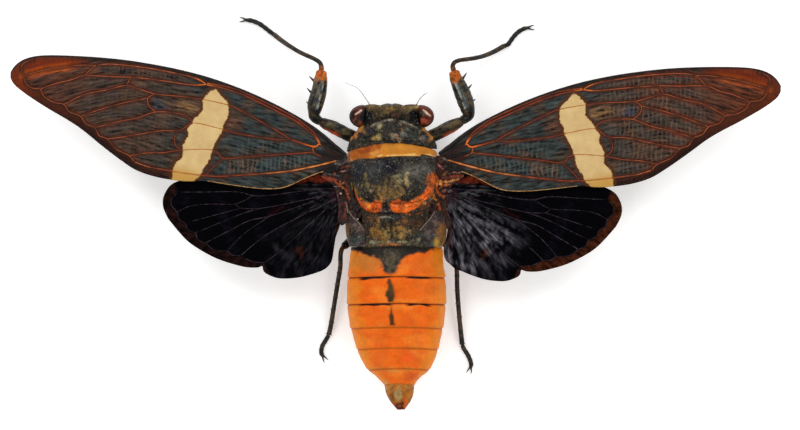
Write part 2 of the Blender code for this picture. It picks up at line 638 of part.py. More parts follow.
def keep_largest(item):
    """Drop every loose surface of a solid but its largest."""
    work = bmesh.new()
    work.from_mesh(item.data)
    work.verts.ensure_lookup_table()
    left = set(work.verts)
    islands = []
    while left:
        stack = [left.pop()]
        island = set(stack)
        while stack:
            for edge in stack.pop().link_edges:
                for vert in edge.verts:
                    if vert in left:
                        left.remove(vert)
                        island.add(vert)
                        stack.append(vert)
        islands.append(island)
    islands.sort(key=len)
    loose = [vert for island in islands[:-1] for vert in island]
    bmesh.ops.delete(work, geom=loose, context="VERTS")
    work.to_mesh(item.data)
    work.free()


def make_legs(material, collection):
    """Make the six legs in their lengths; the hidden right middle leg mirrors the left one."""
    legs = dict(LEGS)
    legs["middle_right"] = {
        piece: tuple((MIDDLE_RIGHT_SHIFT - x, y, z, radius) for x, y, z, radius in joints)
        for piece, joints in LEGS["middle_left"].items()
    }
    made = {}
    for leg, pieces in legs.items():
        names = list(pieces)
        turns = [None]
        for before, after in zip(names, names[1:]):
            arriving = heading(pieces[before], len(pieces[before]) - 2)
            turns.append((arriving + heading(pieces[after], 0)).normalized())
        turns.append(None)
        for k, piece in enumerate(names):
            name = f"{leg}_{piece}"
            made[name] = limb(name, pieces[piece], material, collection, first=turns[k], last=turns[k + 1])
        fuse(made[f"{leg}_tarsus"], claws(pieces["tarsus"]), material)
    for leg, spines in FEMUR_SPINES.items():
        spikes = [(base, tip, SPINE_RADIUS) for base, tip in spines]
        fuse(made[f"{leg}_femur"], spikes, material)


def smooth_line(points, step):
    """Return points of a smooth curve through the given ones, about one step apart."""
    path = [Vector(point) for point in points]
    line = []
    for k in range(len(path) - 1):
        before = path[max(k - 1, 0)]
        start, end = path[k], path[k + 1]
        after = path[min(k + 2, len(path) - 1)]
        parts = max(1, round((end - start).length / step))
        for n in range(parts):
            t = n / parts
            line.append(0.5 * (
                2 * start + (end - before) * t
                + (2 * before - 5 * start + 4 * end - after) * t * t
                + (3 * start - before - 3 * end + after) * t ** 3
            ))
    line.append(path[-1])
    return line


def wing_height(x, y, layer):
    """Return the height of a wing's mid plane, drooping outward and cambered fore and aft."""
    reach = abs(x) / WING_SPAN
    return WING_ROOT_Z - WING_LAYER * layer - WING_DROOP * reach**2 - WING_CAMBER * (y - CAMBER_LINE) ** 2


def near_segment(point, start, end):
    """Return the distance from a point to a straight stretch."""
    span = end - start
    t = min(max((point - start).dot(span) / span.length_squared, 0.0), 1.0)
    return (point - start - span * t).length


def vein_net(veins):
    """Return the crest places, the crest stretches and the foot places beside them."""
    places, stretches, feet = [], [], []
    known = {}
    for points in veins.values():
        line = smooth_line(points, VEIN_STEP)
        keys = []
        for point in line:
            key = (round(point.x, 2), round(point.y, 2))
            if key not in known:
                known[key] = len(places)
                places.append(point)
            keys.append(known[key])
        stretches += list(zip(keys, keys[1:]))
        for k, point in enumerate(line):
            ahead = (line[min(k + 1, len(line) - 1)] - line[max(k - 1, 0)]).normalized()
            beside = Vector((-ahead.y, ahead.x)) * RIDGE_HALF_WIDTH
            feet += [point + beside, point - beside]
    return places, stretches, feet


def clear_feet(feet, places, stretches, rim):
    """Return the feet that stand clear of every crest, of the rim and of each other."""
    kept = []
    for foot in feet:
        crest = min(near_segment(foot, places[a], places[b]) for a, b in stretches)
        edge = min(near_segment(foot, rim[k - 1], rim[k]) for k in range(len(rim)))
        apart = min(((foot - other).length for other in kept), default=RIM_CLEARANCE)
        if crest > FOOT_CLEARANCE * RIDGE_HALF_WIDTH and edge > RIM_CLEARANCE and apart >= RIM_CLEARANCE:
            kept.append(foot)
    return kept


def wing(name, outline, veins, side, layer, material, collection):
    """Make a wing: a membrane of even thickness whose veins stand up as ridges on both faces.

    Both faces share one triangulation, so a vane that curves keeps its thickness.
    """
    sign, root, degrees, stretch = side
    turn = math.radians(degrees)
    c, s = math.cos(turn), math.sin(turn)
    places, stretches, feet = vein_net(veins)
    rim = [Vector(point) for point in outline]
    feet = clear_feet(feet, places, stretches, rim)
    verts = rim + places + feet
    edges = [(k, (k + 1) % len(rim)) for k in range(len(rim))]
    edges += [(a + len(rim), b + len(rim)) for a, b in stretches]
    cells = geometry.delaunay_2d_cdt(verts, edges, [list(range(len(rim)))], 1, 1e-4)
    flat, faces = cells[0], [tuple(face) for face in cells[2]]
    upper, lower = [], []
    for point in flat:
        crest = min(near_segment(point, places[a], places[b]) for a, b in stretches)
        thick = MEMBRANE / 2 + RIDGE * max(0.0, 1 - crest / (FOOT_CLEARANCE * RIDGE_HALF_WIDTH))
        u, v = point.x * stretch, point.y
        x = root[0] + sign * (u * c - v * s)
        y = root[1] - (u * s + v * c)
        z = wing_height(x, y, layer)
        upper.append((x, y, z + thick))
        lower.append((x, y, z - thick))
    count = len(flat)
    solid = faces + [tuple(k + count for k in reversed(face)) for face in faces]
    directed = {(face[k], face[(k + 1) % 3]) for face in faces for k in range(3)}
    solid += [(b, a, a + count, b + count) for a, b in directed if (b, a) not in directed]
    return add_mesh(name, upper + lower, solid, material, collection)


def build():
    """Build every part of the cicada."""
    clear_scene()
    parts = make_collection("parts")
    dark = make_material("dark_chitin", (0.045, 0.05, 0.045), 0.4)
    orange = make_material("orange_chitin", (0.72, 0.14, 0.015), 0.45)
    ochre = make_material("ochre_chitin", (0.55, 0.25, 0.05), 0.5)
    eye = make_material("eye", (0.12, 0.02, 0.01), 0.2)
    leg = make_material("leg_chitin", (0.03, 0.035, 0.03), 0.35)
    cover = make_material("tymbal_chitin", (0.25, 0.18, 0.16), 0.45)
    fore = make_material("forewing_membrane", (0.05, 0.055, 0.06), 0.4)
    hind = make_material("hindwing_membrane", (0.01, 0.01, 0.02), 0.4)

    head = body_length("head", HEAD_FRONT, NECK, dark, parts, roundness=HEAD_ROUNDNESS)
    middle = along(AXIS, EYE_PLACE[0])
    for sign in (1, -1):
        trim(head, (middle + sign * CHEEK, 0, 0), (sign, 0, 0))
    body_length("pronotum", NECK, COLLAR_FRONT, dark, parts)
    body_length("pronotal_collar", COLLAR_FRONT, COLLAR_REAR, ochre, parts, rows=3)
    lower_thorax(dark, parts)
    notum_plate("mesonotum", COLLAR_REAR, SHIELD_REAR, SHIELD_HALF_WIDTH, dark, parts)
    notum_plate("cruciform_ridge", SHIELD_REAR, CROSS_REAR, CROSS_HALF_WIDTH, ochre, parts, rows=3)
    notum_plate("metanotum", CROSS_REAR, WAIST, METANOTUM_HALF_WIDTH, dark, parts)
    seams = [WAIST] + [(y, ABDOMEN_SWEEP, 2) for y in ABDOMEN_SEAMS]
    for k in range(len(seams) - 1):
        body_length(f"abdomen_{k + 1}", seams[k], seams[k + 1], orange, parts)
    body_length("pygofer", seams[-1], (TAIL_TIP + SEAM / 2, 0.0, 2), ochre, parts, rows=5)

    face = HEAD_FRONT[0] - SEAM / 2
    ellipsoid(
        "postclypeus", (middle, face, CLYPEUS_Z),
        (CLYPEUS_HALF_WIDTH, face - CLYPEUS_FRONT, CLYPEUS_HALF_HEIGHT),
        dark, parts, (0, face, 0), (0, 1, 0),
    )
    limb("rostrum", [(*place, radius) for place, radius in zip(BEAK, BEAK_RADII)], dark, parts)
    for side, sign in (("left", 1), ("right", -1)):
        ellipsoid(
            f"antennal_plate_{side}", (middle + sign * PLATE_OFFSET, face, PLATE_Z),
            (PLATE_HALF_WIDTH, face - PLATE_FRONT, PLATE_HALF_HEIGHT), dark, parts, (0, face, 0), (0, 1, 0),
        )
        ellipsoid(
            f"eye_{side}", (middle + sign * (EYE_REACH - EYE_RADII[0]), *EYE_PLACE), EYE_RADII, eye, parts,
            (middle + sign * (CHEEK + SEAM), 0, 0), (-sign, 0, 0),
        )
        feeler = [(*place, radius) for place, radius in zip(FEELERS[side], FEELER_RADII)]
        limb(f"antenna_{side}", feeler, dark, parts, sides=6)
        tymbal_cover(side, sign, cover, parts)
        operculum(side, sign, ochre, parts)
        outline = smooth_line(FORE_FRONT, OUTLINE_STEP) + smooth_line(FORE_REAR, OUTLINE_STEP)
        wing(f"forewing_{side}", outline, FORE_VEINS, FORE_SIDES[side], 0, fore, parts)
        rear = HIND_REAR + HIND_INNER[side]
        outline = smooth_line(HIND_FRONT, OUTLINE_STEP) + smooth_line(rear, OUTLINE_STEP)
        wing(f"hindwing_{side}", outline, HIND_VEINS, HIND_SIDES[side], 1, hind, parts)
    make_legs(leg, parts)


build()
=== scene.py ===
"""The dressed model of a banded cicada, a male with its wings spread, at life size.

Sizes are in millimetres until a mesh is made. +Z is up, the head faces -Y, the animal's left side is +X,
and it stands on the floor at z = 0.
"""
import logging
import math
from collections.abc import Callable, Sequence
from dataclasses import dataclass, field
from enum import Enum

import bmesh
import bpy
import numpy as np
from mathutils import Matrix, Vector, geometry


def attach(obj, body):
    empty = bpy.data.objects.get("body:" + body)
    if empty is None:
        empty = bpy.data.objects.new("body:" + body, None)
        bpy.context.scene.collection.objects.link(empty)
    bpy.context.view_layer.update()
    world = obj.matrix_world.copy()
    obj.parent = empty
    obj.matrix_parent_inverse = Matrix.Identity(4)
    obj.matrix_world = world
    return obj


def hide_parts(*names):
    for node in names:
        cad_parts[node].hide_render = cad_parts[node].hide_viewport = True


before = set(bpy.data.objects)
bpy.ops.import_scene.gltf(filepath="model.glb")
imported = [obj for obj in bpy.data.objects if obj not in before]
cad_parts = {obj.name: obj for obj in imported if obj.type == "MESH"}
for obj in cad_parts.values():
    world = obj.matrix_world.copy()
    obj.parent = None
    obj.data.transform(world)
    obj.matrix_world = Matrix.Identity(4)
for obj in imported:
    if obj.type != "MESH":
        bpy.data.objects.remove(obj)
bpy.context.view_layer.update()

LOG = logging.getLogger("cicada")
MM = 0.001
SEED = 20
# How many plane waves make up a random field
WAVES = 9

Array = np.ndarray
Material = bpy.types.Material
# The points and the faces of a mesh
Shape = tuple[np.ndarray, list]
Table = Sequence[tuple[float, float]]

# The solids' own outline tables: (place along Y, value), the head end first
AXIS: Table = ((-20, 0.9), (-10, 0.7), (-4, 0.42), (6, 0.0), (16, 0.0), (26, -0.3), (35, -0.8))
HALF_WIDTH: Table = (
    (-18.9, 5.4), (-17, 6.1), (-16.4, 6.4), (-15.2, 7.1), (-14.2, 7.6), (-12.5, 7.85), (-10, 7.95),
    (-4, 8.28), (2, 8.1), (6, 8.1), (11, 8.55), (14, 8.72), (18, 8.4), (21, 7.8), (23.5, 7.1), (25.6, 6.3),
    (27.2, 5.3), (28.6, 3.7), (29.8, 2.7), (31.6, 2.35), (33, 1.7), (34.3, 0.75),
)
TOP: Table = (
    (-18.6, 11.6), (-16.5, 13.0), (-13, 14.4), (-10, 15.4), (-4, 16.6), (0, 16.0), (3, 15.2), (6, 15.3),
    (11, 15.8), (16, 15.4), (20, 14.5), (24, 13.2), (27, 12.0), (30, 10.3), (33, 8.6), (34.5, 7.6),
)
BOTTOM: Table = (
    (-18.6, 5.2), (-16, 4.4), (-12, 3.8), (-8, 3.2), (0, 3.0), (6, 2.3), (11, 1.9), (16, 2.1), (20, 2.6),
    (24, 3.4), (27, 4.1), (30, 4.8), (33, 5.7), (34.5, 6.4),
)
# The height of the underside of the back's plates
PLATE_FLOOR = 13.4
THORAX_HALF_WIDTH: Table = (
    (-10, 8.0), (-7, 8.2), (-4.5, 8.3), (-2.6, 8.2), (-1.6, 6.7), (2, 6.5), (4, 6.5), (6, 6.5),
)


class Side(Enum):
    """The two sides of the animal, as the sign of X."""

    LEFT = 1
    RIGHT = -1

    @property
    def word(self) -> str:
        """The side's name in the names of pieces."""
        return self.name.lower()


def linear(code: str) -> tuple[float, float, float, float]:
    """Turns an sRGB hex colour into a linear one.

    Args:
        code: six hex digits.

    Returns:
        Red, green, blue and an alpha of 1.
    """
    values = [int(code[k:k + 2], 16) / 255 for k in (0, 2, 4)]
    turned = [v / 12.92 if v <= 0.04045 else ((v + 0.055) / 1.055) ** 2.4 for v in values]
    return (turned[0], turned[1], turned[2], 1.0)


def along(table: Table, at: Array | float) -> Array:
    """Reads a table at places between its rows, with smooth slopes and no overshoot.

    Args:
        table: rows of (place, value).
        at: the places.

    Returns:
        The values there.
    """
    place, value = np.array(table, dtype=float).T
    secant = np.diff(value) / np.diff(place)
    before = np.concatenate((secant[:1], secant))
    after = np.concatenate((secant, secant[-1:]))
    product = before * after
    total = np.where(product > 0, before + after, 1.0)
    slope = np.where(product > 0, 2 * product / total, 0.0)
    spot = np.clip(np.asarray(at, dtype=float), place[0], place[-1])
    k = np.clip(np.searchsorted(place, spot, side="right") - 1, 0, len(place) - 2)
    step = place[k + 1] - place[k]
    t = (spot - place[k]) / step
    return (
        value[k] * (1 + 2 * t) * (1 - t) ** 2 + slope[k] * step * t * (1 - t) ** 2
        + value[k + 1] * t * t * (3 - 2 * t) + slope[k + 1] * step * t * t * (t - 1)
    )


def ease(value: Array, low: float, high: float) -> Array:
    """Rises smoothly from 0 at low to 1 at high."""
    t = np.clip((value - low) / (high - low), 0.0, 1.0)
    return t * t * (3 - 2 * t)


def smooth_line(points: Sequence[Sequence[float]], step: float) -> Array:
    """Runs a smooth curve through points.

    Args:
        points: places of any dimension.
        step: rough distance between the points returned.

    Returns:
        Points on the curve, one row each.
    """
    path = np.array(points, dtype=float)
    rows = []
    for k in range(len(path) - 1):
        before, start, end = path[max(k - 1, 0)], path[k], path[k + 1]
        after = path[min(k + 2, len(path) - 1)]
        parts = max(1, round(float(np.linalg.norm((end - start)[:3])) / step))
        t = np.arange(parts)[:, None] / parts
        rows.append(0.5 * (
            2 * start + (end - before) * t + (2 * before - 5 * start + 4 * end - after) * t**2
            + (3 * start - before - 3 * end + after) * t**3
        ))
    rows.append(path[-1:])
    return np.vstack(rows)


def run_of(line: Array) -> Array:
    """Returns how far along a line each of its points lies."""
    return np.concatenate(((0.0,), np.cumsum(np.linalg.norm(np.diff(line, axis=0), axis=1))))


def distance_to(points: Array, lines: Sequence[Array]) -> Array:
    """Measures how far flat points lie from the nearest of some lines.

    Args:
        points: (n, 2) places.
        lines: each an (m, 2) line.

    Returns:
        n distances.
    """
    best = np.full(len(points), 1e9)
    for line in lines:
        for start, end in zip(line[:-1], line[1:]):
            span = end - start
            t = np.clip(((points - start) @ span) / max(float(span @ span), 1e-12), 0.0, 1.0)
            gap = points - start - t[:, None] * span
            best = np.minimum(best, gap[:, 0] ** 2 + gap[:, 1] ** 2)
    return np.sqrt(best)


def depth_in(points: Array, outline: Sequence[Sequence[float]]) -> Array:
    """Measures how deep flat points lie inside a closed outline.

    Args:
        points: (n, 2) places.
        outline: the corners, in order.

    Returns:
        Distances to the outline, negative outside.
    """
    ring = np.array(list(outline) + [outline[0]], dtype=float)
    inside = np.zeros(len(points), dtype=bool)
    for start, end in zip(ring[:-1], ring[1:]):
        rise = end[1] - start[1]
        if rise == 0:
            continue
        between = (points[:, 1] < start[1]) != (points[:, 1] < end[1])
        cross = start[0] + (points[:, 1] - start[1]) * (end[0] - start[0]) / rise
        inside ^= between & (points[:, 0] < cross)
    gap = distance_to(points, [ring])
    return np.where(inside, gap, -gap)


def ripple(points: Array, size: float, seed: int) -> Array:
    """Makes a smooth random field from plane waves of many headings.

    Args:
        points: (n, 2) or (n, 3) places.
        size: rough size of its blotches.
        seed: picks the field.

    Returns:
        n values, mostly from -1 to 1.
    """
    draw = np.random.default_rng(SEED + seed)
    heading = draw.normal(size=(WAVES, points.shape[1]))
    heading /= np.linalg.norm(heading, axis=1)[:, None]
    length = size * draw.uniform(0.7, 1.9, WAVES)
    phase = draw.uniform(0, math.tau, WAVES)
    total = np.sin(points @ heading.T * math.tau / length / 1.6 + phase)
    return total.sum(axis=1) / math.sqrt(WAVES / 1.4)


class NodeGraph:
    """The node tree of one material, to which every node is added by one call."""

    def __init__(self, name: str) -> None:
        """Starts a material with an empty Principled shader."""
        self.material = bpy.data.materials.new(name)
        self.material.use_nodes = True
        self.tree = self.material.node_tree
        self.shader = self.tree.nodes["Principled BSDF"]

    def add(
        self, kind: str, links: dict | None = None, out: str | int | None = None, **settings: object,
    ) -> bpy.types.NodeSocket:
        """Adds a node.

        Args:
            kind: the node's type without its ShaderNode prefix.
            links: values or sockets for its inputs, by name or place.
            out: the output to return; by default the first one in use.
            settings: fields of the node.

        Returns:
            One output socket.
        """
        item = self.tree.nodes.new(f"ShaderNode{kind}")
        for name, value in settings.items():
            setattr(item, name, value)
        self.feed(item, links or {})
        if out is not None:
            return item.outputs[out]
        return next(socket for socket in item.outputs if socket.enabled)

    def feed(self, item: bpy.types.Node, links: dict) -> None:
        """Sets or links a node's inputs."""
        for key, value in links.items():
            if isinstance(value, bpy.types.NodeSocket):
                self.tree.links.new(value, item.inputs[key])
            else:
                item.inputs[key].default_value = value


@dataclass(frozen=True)
class Cuticle:
    """Insect cuticle (chitin), grown, sclerotised and set with short down.

    Its colour is the pigment painted on the piece; speckle and down break it up, and the
    waxy surface gives a soft gloss.
    """

    name: str
    roughness: float
    speckle: float
    grain: float
    relief: float
    pits: float = 0.0
    specular: float = 0.5
    fleck: float = 0.0

    def material(self) -> Material:
        """Builds the finish from the piece's pigment, a speckle, pale flecks, and pits in relief."""
        graph = NodeGraph(self.name)
        place = graph.add("TexCoord", out="Object")
        pigment = graph.add("Attribute", out="Color", attribute_name="pigment")
        fine = graph.add("TexNoise", {"Vector": place, "Scale": 1 / (self.grain * MM), "Detail": 4.0,
                                      "Roughness": 0.62})
        broad = graph.add("TexNoise", {"Vector": place, "Scale": 0.22 / (self.grain * MM), "Detail": 2.0})
        both = graph.add("Math", {0: fine, 1: broad}, operation="ADD")
        shade = graph.add(
            "MapRange", {0: both, 1: 0.78, 2: 1.22, 3: 1 - self.speckle, 4: 1 + 1.6 * self.speckle},
        )
        colour = graph.add("VectorMath", {0: pigment, "Scale": shade}, operation="SCALE")
        if self.fleck:
            for scale, low, high, code in (
                (2.1, 0.44, 0.33, "060506"), (2.6, 0.56, 0.66, "A08E6C"), (1.3, 0.6, 0.7, "76808A"),
            ):
                crumb = graph.add(
                    "TexNoise", {"Vector": place, "Scale": scale / MM, "Detail": 3.0, "Roughness": 0.7},
                )
                share = graph.add("MapRange", {0: crumb, 1: low, 2: high, 3: 0.0, 4: self.fleck})
                colour = graph.add("Mix", {0: share, 6: colour, 7: linear(code)}, data_type="RGBA")
        pit = graph.add("TexVoronoi", {"Vector": place, "Scale": 0.9 / (self.grain * MM)})
        height = graph.add("Math", {0: pit, 1: self.pits, 2: fine}, operation="MULTIPLY_ADD")
        bump = graph.add("Bump", {"Height": height, "Strength": 0.8, "Distance": self.relief * MM})
        rough = graph.add(
            "MapRange", {0: broad, 1: 0.3, 2: 0.7, 3: self.roughness - 0.08, 4: self.roughness + 0.1},
        )
        graph.feed(graph.shader, {
            "Base Color": colour, "Roughness": rough, "Normal": bump, "Specular IOR Level": self.specular,
        })
        return graph.material


@dataclass(frozen=True)
class Membrane:
    """Forewing membrane: a thin double sheet of cuticle, smoky and finely crinkled between its veins."""

    name: str = "forewing_membrane"
    pitch: float = 0.85
    roughness: float = 0.42

    def material(self) -> Material:
        """Builds the smoky ground, the crinkles with painted sheen on them, the cream band and the brown
        margin.
        """
        graph = NodeGraph(self.name)
        place = graph.add("Attribute", out="Vector", attribute_name="wing_place")
        masks = graph.add("Attribute", out="Vector", attribute_name="wing_masks")
        band = graph.add("SeparateXYZ", {0: masks}, out=0)
        vein = graph.add("SeparateXYZ", {0: masks}, out=1)
        crinkle = graph.add("SeparateXYZ", {0: masks}, out=2)
        pigment = graph.add("Attribute", out="Color", attribute_name="pigment")
        flow = graph.add("Attribute", out="Vector", attribute_name="wing_flow")
        warp = graph.add("TexNoise", {"Vector": place, "Scale": 0.4, "Detail": 1.5})
        across = graph.add("SeparateXYZ", {0: place}, out=0)
        lean = graph.add("SeparateXYZ", {0: place}, out=1)
        slant = graph.add("Math", {0: lean, 1: -0.22, 2: across}, operation="MULTIPLY_ADD")
        bent = graph.add("Math", {0: warp, 1: 1.3, 2: slant}, operation="MULTIPLY_ADD")
        turn = graph.add("Math", {0: bent, 1: math.tau / self.pitch}, operation="MULTIPLY")
        wave = graph.add("Math", {0: turn}, operation="SINE")
        patch = graph.add("TexNoise", {"Vector": place, "Scale": 1.1, "Detail": 4.0, "Roughness": 0.6})
        stroke = graph.add(
            "MapRange", {0: wave, 1: -0.1, 2: 1.0, 3: 0.0, 4: 1.0}, interpolation_type="SMOOTHSTEP",
        )
        gate = graph.add("MapRange", {0: patch, 1: 0.38, 2: 0.64, 3: 0.12, 4: 1.0})
        gated = graph.add("Math", {0: stroke, 1: gate}, operation="MULTIPLY")
        lines = graph.add("Math", {0: gated, 1: crinkle}, operation="MULTIPLY")
        long_place = graph.add("Mapping", {"Vector": flow, "Scale": (0.32, 2.0, 1.0)})
        streak = graph.add("TexNoise", {"Vector": long_place, "Scale": 1.0, "Detail": 5.0, "Roughness": 0.7})
        calm = graph.add("MapRange", {0: crinkle, 1: -1.0, 2: 0.0, 3: 0.22, 4: 1.35})
        smoke = graph.add("MapRange", {0: streak, 1: 0.36, 2: 0.68, 3: -0.9, 4: 1.75})
        depth = graph.add("Math", {0: smoke, 1: calm, 2: 1.0}, operation="MULTIPLY_ADD")
        ground = graph.add("VectorMath", {0: pigment, "Scale": depth}, operation="SCALE")
        slant_place = graph.add(
            "Mapping", {"Vector": flow, "Rotation": (0.0, 0.0, 0.3), "Scale": (1.4, 3.4, 1.0)},
        )
        # Pale flecks in the open cells: painted sheen on the crinkled membrane
        fibre = graph.add("TexNoise", {"Vector": slant_place, "Scale": 1.0, "Detail": 4.0, "Roughness": 0.65})
        fleck = graph.add("MapRange", {0: fibre, 1: 0.53, 2: 0.72, 3: 0.0, 4: 0.26})
        bare = graph.add("Math", {0: fleck, 1: gate}, operation="MULTIPLY")
        open_cells = graph.add("MapRange", {0: crinkle, 1: -0.15, 2: 0.02})
        flecks = graph.add("Math", {0: bare, 1: open_cells}, operation="MULTIPLY")
        # Pale lines along the crinkles' crests: painted sheen, where the bump below raises the same crests
        pale = graph.add("VectorMath", {0: pigment, "Scale": 4.4}, operation="SCALE")
        hazy = graph.add("Mix", {0: flecks, 6: ground, 7: pale}, data_type="RGBA")
        light = graph.add("Mix", {0: lines, 6: hazy, 7: pale}, data_type="RGBA")
        near = graph.add("MapRange", {0: vein, 1: 0.1, 2: 0.65, 3: 0.85, 4: 0.0})
        warm = graph.add("Mix", {0: near, 6: light, 7: linear("35170B")}, data_type="RGBA")
        fray = graph.add("TexNoise", {"Vector": place, "Scale": 2.2, "Detail": 4.0, "Roughness": 0.65})
        edge = graph.add("Math", {0: fray, 1: 0.8, 2: band}, operation="MULTIPLY_ADD")
        cover = graph.add("MapRange", {0: edge, 1: 0.3, 2: 0.52}, interpolation_type="SMOOTHSTEP")
        fringe = graph.add("MapRange", {0: edge, 1: -0.55, 2: 0.25}, interpolation_type="SMOOTHSTEP")
        rust = graph.add("Mix", {0: fringe, 6: warm, 7: linear("4A2610")}, data_type="RGBA")
        cloud = graph.add("TexNoise", {"Vector": place, "Scale": 0.5, "Detail": 5.0, "Roughness": 0.65})
        cream = graph.add("Mix", {0: cloud, 6: linear("B4905A"), 7: linear("E2C68C")}, data_type="RGBA")
        rear = graph.add(
            "MapRange", {0: lean, 1: -8.0, 2: -10.0, 3: 0.0, 4: 0.85}, interpolation_type="SMOOTHSTEP",
        )
        gold = graph.add("Mix", {0: rear, 6: cream, 7: linear("B98A3A")}, data_type="RGBA")
        colour = graph.add("Mix", {0: cover, 6: rust, 7: gold}, data_type="RGBA")
        flat = graph.add("Math", {0: 1.0, 1: cover}, operation="SUBTRACT")
        rise = graph.add("Math", {0: gated, 1: crinkle, 2: patch}, operation="MULTIPLY_ADD")
        height = graph.add("Math", {0: rise, 1: flat}, operation="MULTIPLY")
        bump = graph.add("Bump", {"Height": height, "Strength": 0.8, "Distance": 0.14 * MM})
        graph.feed(graph.shader, {
            "Base Color": colour, "Roughness": self.roughness, "Normal": bump, "Specular IOR Level": 0.1,
        })
        return graph.material


@dataclass(frozen=True)
class Velvet:
    """Hindwing membrane: deep black-violet cuticle with a dull silvery sheen along its folds."""

    name: str = "hindwing_membrane"

    def material(self) -> Material:
        """Builds the black ground with long faint streaks."""
        graph = NodeGraph(self.name)
        flow = graph.add("Attribute", out="Vector", attribute_name="wing_flow")
        pigment = graph.add("Attribute", out="Color", attribute_name="pigment")
        longer = graph.add("Mapping", {"Vector": flow, "Scale": (0.6, 4.2, 1.0)})
        streak = graph.add("TexNoise", {"Vector": longer, "Scale": 1.0, "Detail": 5.0, "Roughness": 0.7})
        glow = graph.add("MapRange", {0: streak, 1: 0.4, 2: 0.68, 3: 0.25, 4: 2.4})
        colour = graph.add("VectorMath", {0: pigment, "Scale": glow}, operation="SCALE")
        bump = graph.add("Bump", {"Height": streak, "Strength": 0.6, "Distance": 0.12 * MM})
        graph.feed(graph.shader, {
            "Base Color": colour, "Roughness": 0.5, "Normal": bump, "Specular IOR Level": 0.02,
        })
        return graph.material


@dataclass(frozen=True)
class Gloss:
    """Smooth, hard cuticle: lacquer-like, of one colour with a cloudy depth."""

    name: str
    dark: str
    light: str
    roughness: float
    cloud: float = 0.6
    relief: float = 0.02
    coat: float = 0.0
    specular: float = 0.2

    def material(self) -> Material:
        """Builds the cloudy colour and a faint relief."""
        graph = NodeGraph(self.name)
        place = graph.add("TexCoord", out="Object")
        cloud = graph.add("TexNoise", {"Vector": place, "Scale": 1 / (self.cloud * MM), "Detail": 4.0,
                                       "Roughness": 0.6})
        part = graph.add("MapRange", {0: cloud, 1: 0.35, 2: 0.68})
        colour = graph.add("Mix", {0: part, 6: linear(self.dark), 7: linear(self.light)}, data_type="RGBA")
        bump = graph.add("Bump", {"Height": cloud, "Strength": 0.6, "Distance": self.relief * MM})
        graph.feed(graph.shader, {
            "Base Color": colour, "Roughness": self.roughness, "Normal": bump,
            "Specular IOR Level": self.specular, "Coat Weight": self.coat, "Coat Roughness": 0.12,
        })
        return graph.material


@dataclass(frozen=True)
class Patch:
    """A patch of pigment on the back: an outline seen from above, its colour, and how it fades."""

    outline: Sequence[Sequence[float]]
    colour: str
    fade: float = 0.35
    strength: float = 1.0
    wander: float = 0.25


def oval(x: float, y: float, across: float, length: float, lean: float = 0.0) -> list[tuple[float, float]]:
    """Draws the outline of a patch round a place.

    Args:
        x: middle of the patch across the body.
        y: middle of the patch along it.
        across: half its width.
        length: half its length.
        lean: turn in degrees.

    Returns:
        The corners.
    """
    c, s = math.cos(math.radians(lean)), math.sin(math.radians(lean))
    ring = []
    for k in range(16):
        a, b = across * math.cos(math.tau * k / 16), length * math.sin(math.tau * k / 16)
        ring.append((x + a * c - b * s, y + a * s + b * c))
    return ring


def spots(*rows: Sequence | Patch) -> tuple[Patch, ...]:
    """Makes round patches from rows of numbers.

    Args:
        rows: each the numbers of an oval, the colour, and any of fade, strength and wander, or a patch.

    Returns:
        The patches, in the same order.
    """
    made = []
    for row in rows:
        if not isinstance(row, Patch):
            size = next(k for k, value in enumerate(row) if isinstance(value, str))
            row = Patch(oval(*row[:size]), *row[size:])
        made.append(row)
    return tuple(made)


def stripe(line: Sequence[Sequence[float]], half: float) -> list[tuple[float, float]]:
    """Draws the outline of a narrow stripe.

    Args:
        line: places along its middle.
        half: half its width.

    Returns:
        The corners.
    """
    path = smooth_line(line, 0.4)
    ahead = np.gradient(path, axis=0)
    beside = half * np.column_stack((-ahead[:, 1], ahead[:, 0])) / np.linalg.norm(ahead, axis=1)[:, None]
    return [tuple(point) for point in np.vstack((path + beside, (path - beside)[::-1]))]


def paint(flat: Array, ground: Array, patches: Sequence[Patch], seed: int = 0) -> Array:
    """Lays patches of pigment over a ground colour.

    Args:
        flat: (n, 2) places on the back.
        ground: (n, 4) colours there.
        patches: what is laid on, in order.
        seed: picks how their edges wander.

    Returns:
        (n, 4) colours.
    """
    colour = ground.copy()
    for k, patch in enumerate(patches):
        wander = ripple(flat, 1.1, seed + k) * 0.6 + ripple(flat, 0.45, seed + k + 50) * 0.4
        depth = depth_in(flat, patch.outline) + patch.wander * wander
        holes = min(1.8 * max(patch.wander - 0.2, 0.0), 0.75)
        broken = holes * ease(ripple(flat, 0.4, seed + k + 90), 0.0, 1.2)
        share = (ease(depth, -patch.fade, patch.fade) * (1 - broken))[:, None] * patch.strength
        colour = colour * (1 - share) + np.array(linear(patch.colour)) * share
    return colour


def ground_of(count: int, code: str) -> Array:
    """Returns one colour for every point."""
    return np.tile(np.array(linear(code)), (count, 1))


def layered(colour: Array, *layers: tuple[str, Array]) -> Array:
    """Mixes colours in, one after another.

    Args:
        colour: (n, 4) colours to start from.
        layers: each a colour, and its share at each point.

    Returns:
        (n, 4) colours.
    """
    for code, share in layers:
        part = np.clip(share, 0.0, 1.0)[:, None]
        colour = colour * (1 - part) + np.array(linear(code)) * part
    return colour


def store(mesh: bpy.types.Mesh, name: str, values: Array) -> None:
    """Writes what a finish reads at each point of a mesh.

    Args:
        mesh: the mesh.
        name: the attribute's name.
        values: a row for each point, of four values for a colour or three for a vector.
    """
    kind, word = ("FLOAT_COLOR", "color") if values.shape[1] == 4 else ("FLOAT_VECTOR", "vector")
    mesh.attributes.new(name, kind, "POINT").data.foreach_set(
        word, np.ascontiguousarray(values, dtype=np.float32).ravel()
    )


